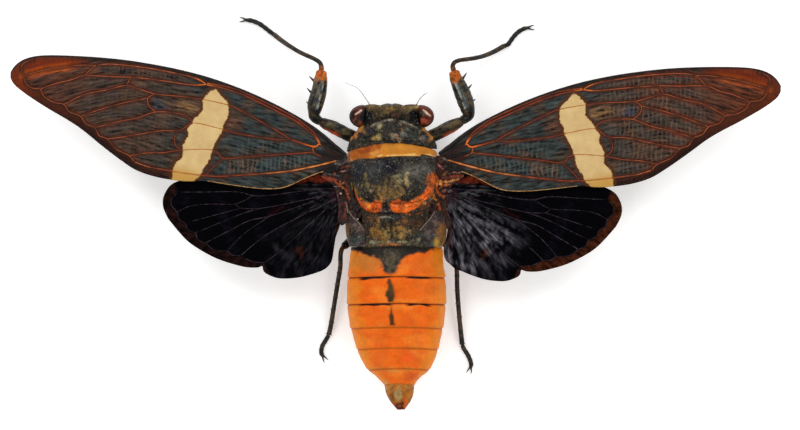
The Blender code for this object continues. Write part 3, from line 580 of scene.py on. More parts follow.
@dataclass
class Piece:
    """A mesh in the making: points in millimetres, faces, and what its finish reads at each point."""

    name: str
    points: Array
    faces: list
    colours: Array | None = None
    vectors: dict[str, Array] = field(default_factory=dict)

    def finish(self, material: Material, slot: str, replaces: Sequence[str] = ()) -> bpy.types.Object:
        """Makes the object, with its faces outward, and hangs it on the body.

        Args:
            material: the finish.
            slot: the record's material slot; not used.
            replaces: the solids that it stands for.

        Returns:
            The object.
        """
        mesh = bpy.data.meshes.new(self.name)
        mesh.from_pydata(
            (self.points * MM).tolist(), [], [tuple(int(k) for k in face) for face in self.faces],
        )
        work = bmesh.new()
        work.from_mesh(mesh)
        bmesh.ops.recalc_face_normals(work, faces=work.faces)
        work.to_mesh(mesh)
        work.free()
        if self.colours is not None:
            store(mesh, "pigment", self.colours)
        for name, values in self.vectors.items():
            store(mesh, name, values)
        mesh.shade_smooth()
        item = bpy.data.objects.new(self.name, mesh)
        bpy.context.scene.collection.objects.link(item)
        dress(item, material, replaces)
        return item


def dress(item: bpy.types.Object, material: Material, replaces: Sequence[str] = ()) -> None:
    """Gives a piece its finish and its place on the body.

    Args:
        item: the object.
        material: the finish.
        replaces: the solids that it stands for.
    """
    item.data.materials.clear()
    item.data.materials.append(material)
    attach(item, "root")
    if replaces:
        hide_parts(*replaces)
    LOG.info("%s: %d faces", item.name, len(item.data.polygons))


def skin(rings: Array) -> Shape:
    """Closes rings of equal count into one skin.

    Args:
        rings: (rows, columns, 3) points.

    Returns:
        The points and the faces, with a fan at each end.
    """
    rows, columns = rings.shape[:2]
    points = np.vstack((rings.reshape(-1, 3), rings[0].mean(axis=0), rings[-1].mean(axis=0)))
    grid = np.arange(rows * columns).reshape(rows, columns)
    turned = np.roll(grid, -1, axis=1)
    quads = np.stack((grid[:-1], turned[:-1], turned[1:], grid[1:]), axis=-1).reshape(-1, 4)
    faces = quads.tolist()
    for row, hub in ((0, rows * columns), (rows - 1, rows * columns + 1)):
        faces += [(hub, int(a), int(b)) for a, b in zip(grid[row], turned[row])]
    return points, faces


def join(parts: Sequence[Shape]) -> Shape:
    """Puts several meshes into one.

    Args:
        parts: points and faces of each.

    Returns:
        All points and all faces.
    """
    points, faces, start = [], [], 0
    for some, their_faces in parts:
        points.append(some)
        faces += [tuple(k + start for k in face) for face in their_faces]
        start += len(some)
    return np.vstack(points), faces


def tube(path: Array, radii: Array, sides: int, squash: float = 1.0, floor: bool = False) -> Shape:
    """Makes a closed tube along a path, its cross-section level with the ground.

    Args:
        path: (n, 3) places.
        radii: n radii.
        sides: points of one ring.
        squash: height over width.
        floor: whether it is pressed flat on the ground.

    Returns:
        Points and faces.
    """
    ahead = np.gradient(path, axis=0)
    ahead /= np.linalg.norm(ahead, axis=1)[:, None]
    across = np.cross(ahead, (0.0, 0.0, 1.0))
    size = np.linalg.norm(across, axis=1)
    level = size > 0.35
    if not level.any():
        across[:] = (1.0, 0.0, 0.0)
        level[:] = True
    known = np.flatnonzero(level)
    nearest = known[np.abs(np.arange(len(path))[:, None] - known[None, :]).argmin(axis=1)]
    across = across[nearest]
    across -= ahead * (across * ahead).sum(axis=1)[:, None]
    across /= np.linalg.norm(across, axis=1)[:, None]
    up = np.cross(across, ahead)
    turn = math.tau * (np.arange(sides) + 0.5) / sides
    level_part = across[:, None, :] * np.cos(turn)[None, :, None]
    upright_part = squash * up[:, None, :] * np.sin(turn)[None, :, None]
    rings = path[:, None, :] + radii[:, None, None] * (level_part + upright_part)
    if floor:
        rings[..., 2] = np.maximum(rings[..., 2], 0.0)
    return skin(rings)


def lattice_in(rim: Array, spacing: float) -> Shape:
    """Fills a closed flat outline with an even lattice of triangles.

    Args:
        rim: (n, 2) corners in order.
        spacing: rough distance between the points.

    Returns:
        The flat places and the triangles.
    """
    low, high = rim.min(axis=0), rim.max(axis=0)
    rows = np.arange(low[1], high[1], spacing * math.sqrt(0.75))
    places = np.arange(low[0], high[0], spacing)
    shifted = (places, places + spacing / 2)
    lattice = np.vstack(
        [np.stack((shifted[k % 2], np.full(len(places), v)), axis=1) for k, v in enumerate(rows)]
    )
    lattice = lattice[depth_in(lattice, rim) > 0.6 * spacing]
    count = len(rim)
    verts = [Vector(point) for point in np.vstack((rim, lattice))]
    edges = [(k, (k + 1) % count) for k in range(count)]
    cells = geometry.delaunay_2d_cdt(verts, edges, [list(range(count))], 1, 1e-5)
    return np.array([tuple(point) for point in cells[0]]), [tuple(face) for face in cells[2]]


def thicken(upper: Array, lower: Array, faces: list) -> Shape:
    """Closes the upper and the lower copy of a sheet of triangles into one skin.

    Args:
        upper: (n, 3) places of the upper copy.
        lower: the same of the lower one.
        faces: the sheet's triangles.

    Returns:
        Points and faces.
    """
    count = len(upper)
    solid = faces + [tuple(k + count for k in reversed(face)) for face in faces]
    directed = {(face[k], face[(k + 1) % 3]) for face in faces for k in range(3)}
    solid += [(b, a, a + count, b + count) for a, b in directed if (b, a) not in directed]
    return np.vstack((upper, lower)), solid


def rounded_ends(radii: Array, path: Array, length: float) -> Array:
    """Draws a tube's radii in at both of its ends.

    Args:
        radii: n radii.
        path: (n, 3) places.
        length: how far from its ends they are drawn in.

    Returns:
        The new radii.
    """
    done = run_of(path)
    t = np.clip(np.minimum(done, done[-1] - done) / length, 0.0, 1.0)
    return radii * np.sqrt(np.clip(1 - (1 - t) ** 2, 0.02, 1.0))


def read(items: bpy.types.bpy_prop_collection, name: str, size: int, kind: type = float) -> Array:
    """Returns one field of all of a mesh's items.

    Args:
        items: its faces, corners or the like.
        name: the field.
        size: how many values it has.
        kind: the type of a value.

    Returns:
        The values, one row for each item.
    """
    values = np.empty(len(items) * size, dtype=kind)
    items.foreach_get(name, values)
    return values.reshape(-1, size) if size > 1 else values


def places_of(item: bpy.types.Object) -> Array:
    """Returns the places of a piece's points in millimetres."""
    return np.array([tuple(vert.co) for vert in item.data.vertices]) / MM


def deselect() -> None:
    """Leaves nothing selected."""
    for item in bpy.context.selected_objects:
        item.select_set(False)


def bead(name: str, centre: Sequence[float], radii: Sequence[float], turn: float = 0.0,
         rings: int = 24) -> bpy.types.Object:
    """Models a rounded bead from a sphere, sized and turned at its place.

    Args:
        name: the object's name.
        centre: its middle in millimetres.
        radii: its three half sizes.
        turn: its turn about the vertical in degrees.
        rings: rows of faces from pole to pole.

    Returns:
        The object, at the origin, unturned and unscaled.
    """
    deselect()
    bpy.ops.mesh.primitive_uv_sphere_add(segments=rings * 3 // 2, ring_count=rings, radius=MM)
    item = bpy.context.active_object
    item.name = name
    item.data.name = name
    bpy.ops.object.mode_set(mode="EDIT")
    bpy.ops.mesh.select_all(action="SELECT")
    bpy.ops.transform.resize(value=tuple(radii), center_override=(0, 0, 0))
    bpy.ops.object.mode_set(mode="OBJECT")
    item.rotation_euler = (0, 0, math.radians(turn))
    item.location = tuple(value * MM for value in centre)
    bpy.ops.object.transform_apply(location=True, rotation=True, scale=True)
    bpy.ops.object.shade_smooth()
    return item


# Wings, in their own axes: u runs out along the wing, v towards its front edge
WING_ROOT_Z = 12.6
# How far a pattern is moved on, so that the two sides don't match
SIDE_STEP = 7.0
WING_LAYER = 1.5
WING_DROOP = 1.6
WING_SPAN = 66.0
WING_CAMBER = 0.0035
CAMBER_LINE = -8.0
FORE_FRONT = (
    (0, 0.75), (4, 2.9), (8, 4.5), (14, 6.1), (20, 7.2), (26, 7.8), (31, 7.9), (36, 7.7), (42, 7.15),
    (48, 6.2), (54, 4.95), (57, 4.05), (59, 2.95), (60.2, 1.6), (60.75, 0.2),
)
FORE_REAR = (
    (60.5, -0.8), (59.5, -1.8), (57, -2.95), (53, -4.3), (49, -5.45), (46, -6.5), (42, -8.35), (38, -10.05),
    (35, -11.05), (31.5, -11.35), (28, -11.1), (25.5, -10.65), (23, -9.95), (19, -9.6), (14, -9.05),
    (10.5, -8.3), (8.5, -7.3), (6, -5.3), (4, -3.7), (2.2, -3.0), (0.5, -2.6),
)
HIND_FRONT = (
    (0, 2.0), (0.8, 3.2), (2.5, 3.6), (4.5, 3.4), (8, 2.8), (12, 2.2), (16, 2.1), (20, 2.3), (24, 2.4),
    (27, 2.2), (29.3, 1.55), (30.8, 0.6), (31.8, -1.2), (31.85, -3), (31, -5),
)
HIND_REAR = (
    (29.4, -7), (27.5, -9), (25, -10.7), (22, -12.2), (18, -13.4), (15.6, -13.6), (14.5, -13.35),
    (14.4, -13.9), (13.9, -14.6), (12, -15.4), (10, -15.5), (8, -15.3), (6, -14.8), (4, -14.1),
)
HIND_INNER = {
    Side.LEFT: ((3, -13.4), (2.3, -12.3), (1.9, -10), (1.6, -8.2), (0.9, -6.2), (0.4, -3.5), (0.2, -1.2)),
    Side.RIGHT: (
        (2.6, -13.6), (1.7, -12.9), (0.9, -12.2), (0.55, -11.2), (0.5, -10), (0.9, -8), (1.0, -6),
        (0.8, -3.5), (0.2, -1.2),
    ),
}
# Each vein: its radius in mm at the root and its places
FORE_VEINS = {
    "radius_upper": (
        0.15,
        ((4.9, 1.5), (6.5, 3.0), (8.5, 4.0), (10, 4.65), (13, 5.4), (17, 6.2), (22, 6.98), (26.8, 6.75)),
    ),
    "radius": (
        0.17,
        (
            (4.9, 1.3), (6, 2.3), (8, 3.3), (10, 4.15), (13, 4.85), (17, 5.75), (20, 6.3), (24, 6.6),
            (26.8, 6.5),
        ),
    ),
    "subcosta": (
        0.15, ((26.8, 6.5), (28, 6.95), (30, 7.15), (32, 7.1), (36, 6.9), (40, 6.5), (44, 5.85), (46.3, 5.1)),
    ),
    "apical": (0.11, ((46.3, 5.0), (49, 4.4), (52, 3.3), (55, 2.0), (58.4, 0.1))),
    "branch": (0.1, ((46.3, 5.0), (47.2, 4.1), (47.9, 2.8))),
    "sector": (
        0.14,
        (
            (26.8, 6.5), (29, 5.85), (33, 5.4), (37, 4.95), (39.9, 4.5), (43, 3.8), (47.9, 2.8), (50, 1.5),
            (52.5, 0.2), (54.9, -1.45),
        ),
    ),
    "cross_1": (0.1, ((39.9, 4.5), (40.4, 2.9))),
    "media_1": (
        0.13,
        (
            (10, 0.8), (13, 1.75), (17, 2.85), (20, 3.6), (22, 3.95), (26, 3.85), (30, 3.45), (35.1, 2.7),
            (38, 2.85), (40.4, 2.9), (43.5, 1.3), (47, -0.35), (50.2, -3.0),
        ),
    ),
    "cross_2": (0.11, ((35.1, 2.7), (36.15, 1.65), (35.6, 0.4), (34.2, -0.35))),
    "media_2": (0.11, ((36.15, 1.65), (39, 0.35), (42.5, -1.5), (46.9, -4.3))),
    "media_3": (
        0.12,
        (
            (10, 0.8), (12, 0.25), (15, -0.1), (19, -0.45), (23, -0.4), (27.3, -0.6), (29.3, -2.4),
            (32.5, -3.3), (36, -4.8), (39, -6.1), (41.3, -7.0),
        ),
    ),
    "media_4": (
        0.11, ((27.3, -0.6), (28.7, 0.3), (31, 0.3), (34.2, -0.35), (37, -2.1), (40.5, -3.75), (43.9, -5.65)),
    ),
    "cross_3": (0.1, ((29.3, -2.4), (29.85, -3.6), (29.5, -5.0), (28.3, -5.75))),
    "cubitus": (
        0.12,
        (
            (5.6, -0.4), (9, -1.5), (13, -2.8), (17, -4.1), (20.6, -5.3), (22, -4.5), (24, -4.5),
            (28.3, -5.75), (31, -6.85), (34, -7.7), (36.8, -8.9),
        ),
    ),
    "cubitus_2": (0.09, ((20.6, -5.3), (22, -7.2), (23, -9.0))),
    "stem": (0.19, ((0.8, 0.0), (3, 0.6), (4.9, 1.3), (5.8, 0.55), (10, 0.8))),
    "cell": (0.14, ((5.8, 0.55), (5.6, -0.4), (3.3, -0.9))),
    "claval": (
        0.17,
        (
            (1.2, -0.8), (5, -2.8), (9, -4.65), (13, -6.1), (17, -7.4), (20.5, -8.5), (23, -9.0), (26, -9.4),
            (30, -9.75), (33, -9.95), (35.7, -9.7),
        ),
    ),
    "ambient": (
        0.12,
        (
            (57.3, 3.4), (58.8, 2.4), (59.1, 1.3), (58.4, 0.1), (57.6, -1.1), (56.4, -1.6), (54.9, -1.45),
            (54.0, -2.5), (52, -3.1), (50.2, -3.0), (49, -4.0), (46.9, -4.3), (45.6, -5.35), (43.9, -5.65),
            (42.8, -6.8), (41.3, -7.0), (39.4, -8.3), (36.8, -8.9), (35.7, -9.7),
        ),
    ),
}
COSTA = (
    0.26,
    (
        (0.2, 0.45), (4, 2.6), (8, 4.22), (14, 5.84), (20, 6.94), (26, 7.54), (31, 7.65), (36, 7.46),
        (42, 6.92), (48, 5.98), (54, 4.75), (57, 3.87), (58.9, 2.8), (60.05, 1.55), (60.6, 0.2),
    ),
)
REAR_CORD = (
    0.105,
    ((3.0, -3.2), (4, -3.75), (6.1, -5.3), (8.5, -7.22), (10.6, -8.2), (14, -8.95), (19, -9.5), (22.5, -9.8)),
)
HIND_VEINS = {
    "front": (
        0.1,
        (
            (0.8, 0.3), (4, 0.2), (7.9, -0.2), (13.1, -0.9), (16.1, -0.96), (19, -0.3), (25, -0.35),
            (29.2, -0.35),
        ),
    ),
    "second": (0.07, ((16.1, -0.96), (19.2, -2.4), (23.6, -2.45), (27.1, -2.8), (29.4, -3.85))),
    "third": (0.08, ((3.2, -0.75), (7.9, -1.9), (14.5, -3.15), (18.2, -3.15), (19.2, -2.4))),
    "fourth": (0.07, ((18.2, -3.15), (23.6, -4.6), (28, -5.8))),
    "fifth": (0.07, ((14.5, -3.15), (18.2, -4.2), (24.5, -6.8), (26.3, -7.5))),
    "sixth": (
        0.1, ((0.9, -0.35), (3.2, -0.75), (6.3, -2.2), (13, -4.5), (16.6, -5.3), (19.3, -6.6), (24.5, -9.3)),
    ),
    "seventh": (0.07, ((13, -4.5), (17.5, -7.5), (20.7, -10.7))),
    "cubitus": (0.1, ((1.4, -1.4), (4.4, -2.9), (7.9, -4.6), (14, -8.0), (18.3, -11.5))),
    "fold": (0.08, ((1.4, -1.4), (4.4, -4.3), (7.9, -7.5), (11.4, -10.7), (14.1, -12.7))),
    "anal_1": (0.05, ((1.4, -3.2), (3.9, -6), (6.0, -9.5), (9.0, -13.3))),
    "anal_2": (0.045, ((1.4, -3.2), (3.3, -8), (4.6, -11), (6.0, -13.2))),
    "ambient": (
        0.07,
        (
            (29.2, -0.35), (30.4, -1.6), (30.3, -2.8), (29.4, -3.85), (29.1, -5.1), (28, -5.8), (27.5, -7.0),
            (26.3, -7.5), (25.7, -8.7), (24.5, -9.3), (22.8, -10.5), (20.7, -10.7), (19.7, -11.4),
            (18.3, -11.5), (16.3, -12.5), (14.1, -12.7),
        ),
    ),
}
# The cream band's outline, the inner edge first
BAND = (
    (25.0, 6.2), (24, 5.4), (23, 4.8), (22.2, 4.2), (22, 3.5), (21.7, 2.5), (21.8, 1.5), (22.1, 0.8), (22, 0),
    (22.1, -0.7), (22.4, -1.8), (22.7, -2.8), (22.9, -4), (23, -5), (22.9, -6), (23.2, -7), (23.7, -8),
    (23.8, -9), (24.1, -9.6), (24.6, -10.3), (25.2, -11.8), (28.4, -11.8), (28.7, -10), (28.8, -9),
    (28.5, -8), (27.7, -7), (27.9, -6), (28.1, -5), (27.9, -3.8), (27.6, -2.8), (28.1, -1.8), (27.5, -0.7),
    (27.4, 0), (26.8, 1), (26.2, 2), (26.5, 3), (26.7, 3.8), (26.2, 4.8), (25.7, 5.7),
)
# The rest of the outline of the dark strip behind the front edge
FRONT_STRIP = ((60, -3), (58, 2.6), (54, 4.2), (42, 6.5), (30, 7.2), (20, 6.6), (8, 3.8), (0, 0))
FORE_SMEARS = spots(
    (28.6, 2.0, 2.0, 0.9, -4, "65482A", 0.9, 0.75), (20.5, 0.8, 1.7, 1.4, "45281A", 0.8, 0.7),
    (20.9, -4.3, 1.6, 1.2, "3A2A1C", 0.7, 0.6), (29.0, -7.5, 1.3, 1.6, "3D2A1B", 0.7, 0.5),
    (33.9, 0.9, 1.1, 0.7, "1C2A3A", 0.6, 0.6),
)
HIND_FOLDS = spots(
    Patch(((2.2, 1.3), (5.5, 1.6), (8.5, 1.2), (8.5, 2.0), (5, 2.5), (2.2, 2.3)), "6A2410", 0.3, 0.85),
    Patch(((1.0, 2.7), (4, 2.9), (7, 2.5), (7, 2.75), (4, 3.15), (1.0, 3.0)), "4A4A4A", 0.15, 0.6, 0.1),
    Patch(
        ((0.1, -2.5), (0.9, -3.4), (1.6, -8), (1.6, -10.2), (0.8, -10.2), (1.0, -8), (0.1, -5)), "33100A",
        0.5, 0.9,
    ),
    (7.9, -11.0, 0.4, 0.9, -25, "4A2418", 0.5, 0.6), (1.4, -1.0, 1.4, 1.4, "261318", 0.6, 0.7),
    (10.6, -11.2, 2.8, 0.5, 40, "232126", 0.5, 0.6), (12.2, -3.6, 1.6, 0.3, -28, "20070A", 0.4, 0.7),
)
# The dark stems that carry the forewing at its root, each with its radius
ROOT_CORDS = (
    (0.34, ((-0.2, 0.5), (2.6, 1.9), (6.0, 3.5))), (0.3, ((-0.2, 0.1), (2.4, 0.8), (4.9, 1.45))),
    (0.24, ((0.0, -0.5), (2.8, -0.3), (5.4, -0.35))), (0.2, ((0.1, -1.2), (2.0, -2.0), (4.0, -3.3))),
)


@dataclass
class Wing:
    """One wing: a thin crinkled membrane, its veins, and the stouter cord of its front edge."""

    side: Side
    root: tuple[float, float]
    degrees: float
    stretch: float
    layer: int
    outline: tuple
    veins: dict
    spacing: float = 0.26
    half_thick: float = 0.08
    pleat: float = 0.1
    vein_sides: int = 8
    knots: float = 0.12

    def place(self, flat: Array, lift: Array | float = 0.0) -> Array:
        """Carries flat wing places to the animal.

        Args:
            flat: (n, 2) rows of u and v.
            lift: height above the wing's mid plane.

        Returns:
            (n, 3) places.
        """
        c, s = math.cos(math.radians(self.degrees)), math.sin(math.radians(self.degrees))
        u, v = flat[:, 0] * self.stretch, flat[:, 1]
        x = self.root[0] + self.side.value * (u * c - v * s)
        y = self.root[1] - (u * s + v * c)
        z = (
            WING_ROOT_Z - WING_LAYER * self.layer - WING_DROOP * (x / WING_SPAN) ** 2
            - WING_CAMBER * (y - CAMBER_LINE) ** 2
        )
        return np.stack((x, y, z + lift), axis=1)

    def flat_of(self, points: Array) -> Array:
        """Finds the flat wing places of points on the animal."""
        c, s = math.cos(math.radians(self.degrees)), math.sin(math.radians(self.degrees))
        across, ahead = self.side.value * (points[:, 0] - self.root[0]), self.root[1] - points[:, 1]
        return np.column_stack(((across * c + ahead * s) / self.stretch, ahead * c - across * s))

    def rim(self) -> Array:
        """Returns the closed outline, finely stepped."""
        return np.vstack([smooth_line(part, 0.3) for part in self.outline])

    def vein_lines(self) -> list[Array]:
        """Returns every vein's line."""
        return [smooth_line(places, 0.5) for _, places in self.veins.values()]

    def membrane(self, name: str) -> Piece:
        """Makes the sheet on an even lattice of points, arched a little between its veins."""
        rim = self.rim()
        flat, faces = lattice_in(rim, self.spacing)
        vein = distance_to(flat, self.vein_lines())
        depth = np.abs(depth_in(flat, rim))
        arch = self.pleat * (1 - np.exp(-vein / 0.6)) * ease(depth, 0.0, 0.8)
        thick = self.half_thick * (0.55 + 0.45 * ease(depth, 0.0, 0.5))
        points, solid = thicken(self.place(flat, arch + thick), self.place(flat, arch - thick), faces)
        colours = self.colours(flat, vein, depth)
        vectors = {word: np.vstack((rows, rows)) for word, rows in self.vectors(flat, vein, depth).items()}
        return Piece(name, points, solid, np.vstack((colours, colours)), vectors)

    def vectors(self, flat: Array, vein: Array, depth: Array) -> dict[str, Array]:
        """Returns what the finish reads besides the pigment, kept apart for the two sides.

        Args:
            flat: (n, 2) wing places.
            vein: how far each is from a vein; not used here.
            depth: how far each is from the rim; not used here.

        Returns:
            (n, 3) values by name.
        """
        turn = np.full(len(flat), SIDE_STEP * self.side.value)
        return {"wing_flow": np.column_stack((self.flow(flat), turn))}

    def flow(self, flat: Array) -> Array:
        """Returns places measured along and across the run of the veins."""
        return flat

    def cord(self, radius: float, places: Sequence, taper: float = 0.5, rise: float = 0.07) -> Shape:
        """Makes one vein as a tube that thins outward.

        Args:
            radius: at the root, in mm.
            places: flat places along it.
            taper: how much of the radius is lost by the wing's tip.
            rise: how far it stands above the mid plane.

        Returns:
            Points and faces.
        """
        line = smooth_line(places, 0.4)
        reach = line[:, 0] / 60.0
        radii = 0.88 * radius * (1 - taper * reach) * (1 + self.knots * ripple(line, 0.9, int(radius * 1000)))
        path = self.place(line, rise)
        return tube(path, rounded_ends(radii, path, 0.12), self.vein_sides)

    def vein_net(self, name: str) -> Piece:
        """Joins all the veins into one piece."""
        points, faces = join([self.cord(radius, places) for radius, places in self.veins.values()])
        return Piece(name, points, faces)


@dataclass
class Forewing(Wing):
    """A forewing: smoky, with a cream band, orange veins and a rusty tip."""

    tip_warmth: float = 1.0
    bend: float = 38.0
    slope: float = 0.5

    def flow(self, flat: Array) -> Array:
        """Follows the veins, which turn to the rear beyond the wing's middle."""
        past = np.maximum(flat[:, 0] - self.bend, 0.0)
        return np.column_stack((flat[:, 0] * 1.1, flat[:, 1] + self.slope * past**2 / (past + 2.0)))

    def colours(self, flat: Array, vein: Array, depth: Array) -> Array:
        """Paints the smoky ground, the brown margin and the glowing tip; see vectors for the arguments."""
        u, rust = flat[:, 0], 1.3 * self.tip_warmth - 0.85
        ambient, apical = FORE_VEINS["ambient"][1], FORE_VEINS["apical"][1]
        beyond = ((33, -9.95), (29, -9.75), (27, -13), (64, -13), (64, 5), (57.5, 5))
        margin = depth_in(flat, ambient + beyond)
        brown = ease(margin, -0.5, 0.25)
        tip = depth_in(flat, ((46.5, 5.1), *apical[1:], (59.5, 1.5), (57.5, 3.6), (48, 6.4)))
        glow = distance_to(flat, [smooth_line(apical, 0.5)])
        ground = layered(
            ground_of(len(flat), "252A29"),
            ("30261F", 0.9 * ease(u, 24, 34)),
            ("3C2A1E", 0.6 * ease(ripple(flat, 3.2, 3), -0.1, 0.9)),
            ("1B2725", 0.6 * ease(ripple(flat, 1.8, 4), 0.1, 0.9) * ease(-u, -26, -16)),
            ("15100F", 0.8 * ease(-u, -5.0, -2.5)),
            ("3A1608", brown),
            ("200D07", 0.85 * brown * ease(-u, -53, -42)),
            ("1A0B07", 0.85 * ease(-depth, -0.75, -0.1) * ease(margin, -0.2, 0.2)),
            ("7A2C04", 0.8 * ease(margin, 0.0, 0.5) * ease(u, 54, 59)),
            ("4A200C", rust * ease(u, 43, 54)),
            ("642206", self.tip_warmth * ease(tip, -0.6, 0.7) * ease(u, 46, 51)),
            ("B04C06", (2.0 - self.tip_warmth) * ease(-glow, -1.1, -0.1) * ease(u, 48.5, 52)),
        )
        ground = paint(flat, ground, FORE_SMEARS, 7)
        front = depth_in(flat, FORE_FRONT + FRONT_STRIP)
        broken = 0.3 + 0.7 * ease(ripple(flat, 1.4, 12), -0.8, 0.8)
        halo = ease(-vein, -1.0, -0.15) * ease(u, 29, 42) * broken
        return layered(
            ground,
            ("15100D", 0.9 * ease(front, -0.1, 0.15) * ease(-u, -56, -44)),
            ("551E08", rust * halo * ease(-margin, -0.2, 0.2)),
        )

    def vectors(self, flat: Array, vein: Array, depth: Array) -> dict[str, Array]:
        """Adds the wing's own places and its masks."""
        found = super().vectors(flat, vein, depth)
        place = np.column_stack((flat, found["wing_flow"][:, 2]))
        return found | {"wing_place": place, "wing_masks": self.masks(flat, vein, depth)}

    def masks(self, flat: Array, vein: Array, depth: Array) -> Array:
        """Measures the band, the veins and how crinkled each place is."""
        band = depth_in(flat, BAND)
        u, v = flat.T
        low, high = (np.interp(u, *np.array(FORE_VEINS[name][1][:7]).T) for name in ("claval", "cubitus"))
        top = np.interp(u, *np.array(FORE_VEINS["media_3"][1][:5]).T)
        inner = ease(v - low, 0.0, 0.5) * ease(high - v, 0.0, 0.5) * ease(u, 5, 8) * ease(-u, -22, -18.5)
        above = 0.5 * ease(v - high, 0.0, 0.4) * ease(top - v, 0.0, 0.4)
        above = above * ease(u, 8.5, 12) * ease(-u, -20, -17)
        front = ease(u, 30, 33) * ease(-u, -46, -42) * ease(v, 4.8, 5.4) * 0.6
        outer = (2.2 * self.tip_warmth - 2.05) * ease(u, 28, 32) * ease(-u, -50, -42)
        crinkle = np.maximum.reduce((inner, front, above, outer))
        crinkle = crinkle * ease(vein, 0.1, 0.4) * ease(depth, 0.4, 1.0)
        tip = ease(u, 46, 50) * ease(v - np.interp(u, (46, 52, 58.4), (5.0, 3.0, -0.2)), -0.5, 0.3)
        rim = depth_in(flat, FORE_VEINS["ambient"][1] + ((33, -13), (64, -13), (64, 6)))
        smooth = np.maximum(np.maximum(tip, ease(rim, -0.2, 0.2)), 0.8 * ease(-u, -5, -3))
        return np.stack((band, vein, crinkle * (1 - smooth) - smooth), axis=1)

    def vein_colours(self, points: Array) -> Array:
        """Paints the veins: rusty, brighter at the nodes and along the rear stem, ochre on the band."""
        flat = self.flat_of(points)
        u = flat[:, 0]
        nodes = distance_to(flat, [np.array(((25.8, 6.4), (27.6, 6.4))), np.array(((4.7, 1.3), (5.7, 0.5)))])
        stem = distance_to(flat, [np.array(FORE_VEINS["claval"][1][:5])])
        return layered(
            ground_of(len(flat), "7A3014"),
            ("A0502A", 0.85 * ease(u, 27, 34)),
            ("CC6622", ease(-nodes, -2.2, -0.5)),
            ("CE7A3C", ease(-stem, -0.45, -0.25) * ease(-u, -17, -6)),
            ("20100D", ease(-u, -4.9, -4.0) * ease(stem, 0.3, 0.6)),
            ("4A1E12", 0.7 * ease(ripple(flat, 1.5, 21), 0.0, 1.1)),
            ("B07234", 0.85 * ease(depth_in(flat, BAND), -0.2, 0.3)),
        )

    def build(self, membrane: Material, orange: Material, black: Material) -> None:
        """Makes the sheet, the orange veins and the black front cord."""
        word = self.side.word
        self.membrane(f"forewing_{word}_membrane").finish(membrane, "forewing_membrane", [f"forewing_{word}"])
        net = self.vein_net(f"forewing_{word}_veins")
        net.colours = self.vein_colours(net.points)
        net.finish(orange, "orange_chitin")
        stems = [self.cord(radius, places, taper=0.2, rise=0.1) for radius, places in ROOT_CORDS]
        points, faces = join([self.cord(*COSTA, taper=0.45, rise=0.0)] + stems)
        Piece(f"forewing_{word}_costa", points, faces).finish(black, "dark_chitin")


@dataclass
class Hindwing(Wing):
    """A hindwing: black-violet, with dim veins and red folds at its root."""

    margin: str = "1E0D08"
    # How strongly painted sheen is laid on, as pale streaks along the folds
    silver: float = 0.6
    knots: float = 0.35

    def colours(self, flat: Array, vein: Array, depth: Array) -> Array:
        """Paints the black ground, pale streaks of painted sheen along the folds, the brown rim and the dark
        red folds; see vectors for the arguments.
        """
        run = self.flow(flat)
        streak = ripple(run * (0.3, 1.6), 0.9, 8) * 0.6 + ripple(run * (0.6, 2.6), 0.7, 9) * 0.5
        grain = ripple(run * (0.3, 1.5), 0.8, 13) * 0.5 + ripple(run * (0.2, 1.2), 1.0, 14) * 0.4
        grain = grain + ripple(flat, 0.6, 15) * 0.25
        fan = ease(-run[:, 1], 2.6, 5.5) * ease(-run[:, 0], -20, -13)
        margin = depth_in(flat, HIND_VEINS["ambient"][1] + ((12, -17), (35, -17), (35, 3), (30, 2)))
        mottle = ease(ripple(run * (0.6, 1.5), 0.8, 6), 0.0, 1.0)
        mottle = mottle * ease(-flat[:, 1] - 0.8 * flat[:, 0], 0.0, 3.0)
        ground = layered(
            ground_of(len(flat), "010103"),
            ("07070E", 0.6 * ease(ripple(flat, 3.0, 5), 0.3, 1.2)),
            # Pale grey streaks towards the root and a grain across the fan: painted sheen along the folds
            ("4A4A4C", self.silver * ease(streak, 0.15, 1.1) * ease(-run[:, 0], -13, -3)),
            ("545258", self.silver**4 * ease(grain, -0.5, 0.9) * fan),
            (self.margin, ease(margin, -0.1, 0.3) * ease(ripple(flat, 1.2, 10), -2.6, -0.4)),
            ("17141A", 0.7 * mottle * ease(flat[:, 0], 1.5, 3.0)),
        )
        return paint(flat, ground, HIND_FOLDS, 11)

    def flow(self, flat: Array) -> Array:
        """Spreads out from the wing's root, as the folds do."""
        reach = np.hypot(flat[:, 0] + 1.0, flat[:, 1] - 0.5)
        return np.column_stack((reach, 9.0 * np.arctan2(flat[:, 1] - 0.5, flat[:, 0] + 1.0)))

    def build(self, membrane: Material, dim: Material) -> None:
        """Makes the sheet and its dim veins."""
        word = self.side.word
        self.membrane(f"hindwing_{word}_membrane").finish(membrane, "hindwing_membrane", [f"hindwing_{word}"])
        self.vein_net(f"hindwing_{word}_veins").finish(dim, "hindwing_membrane")


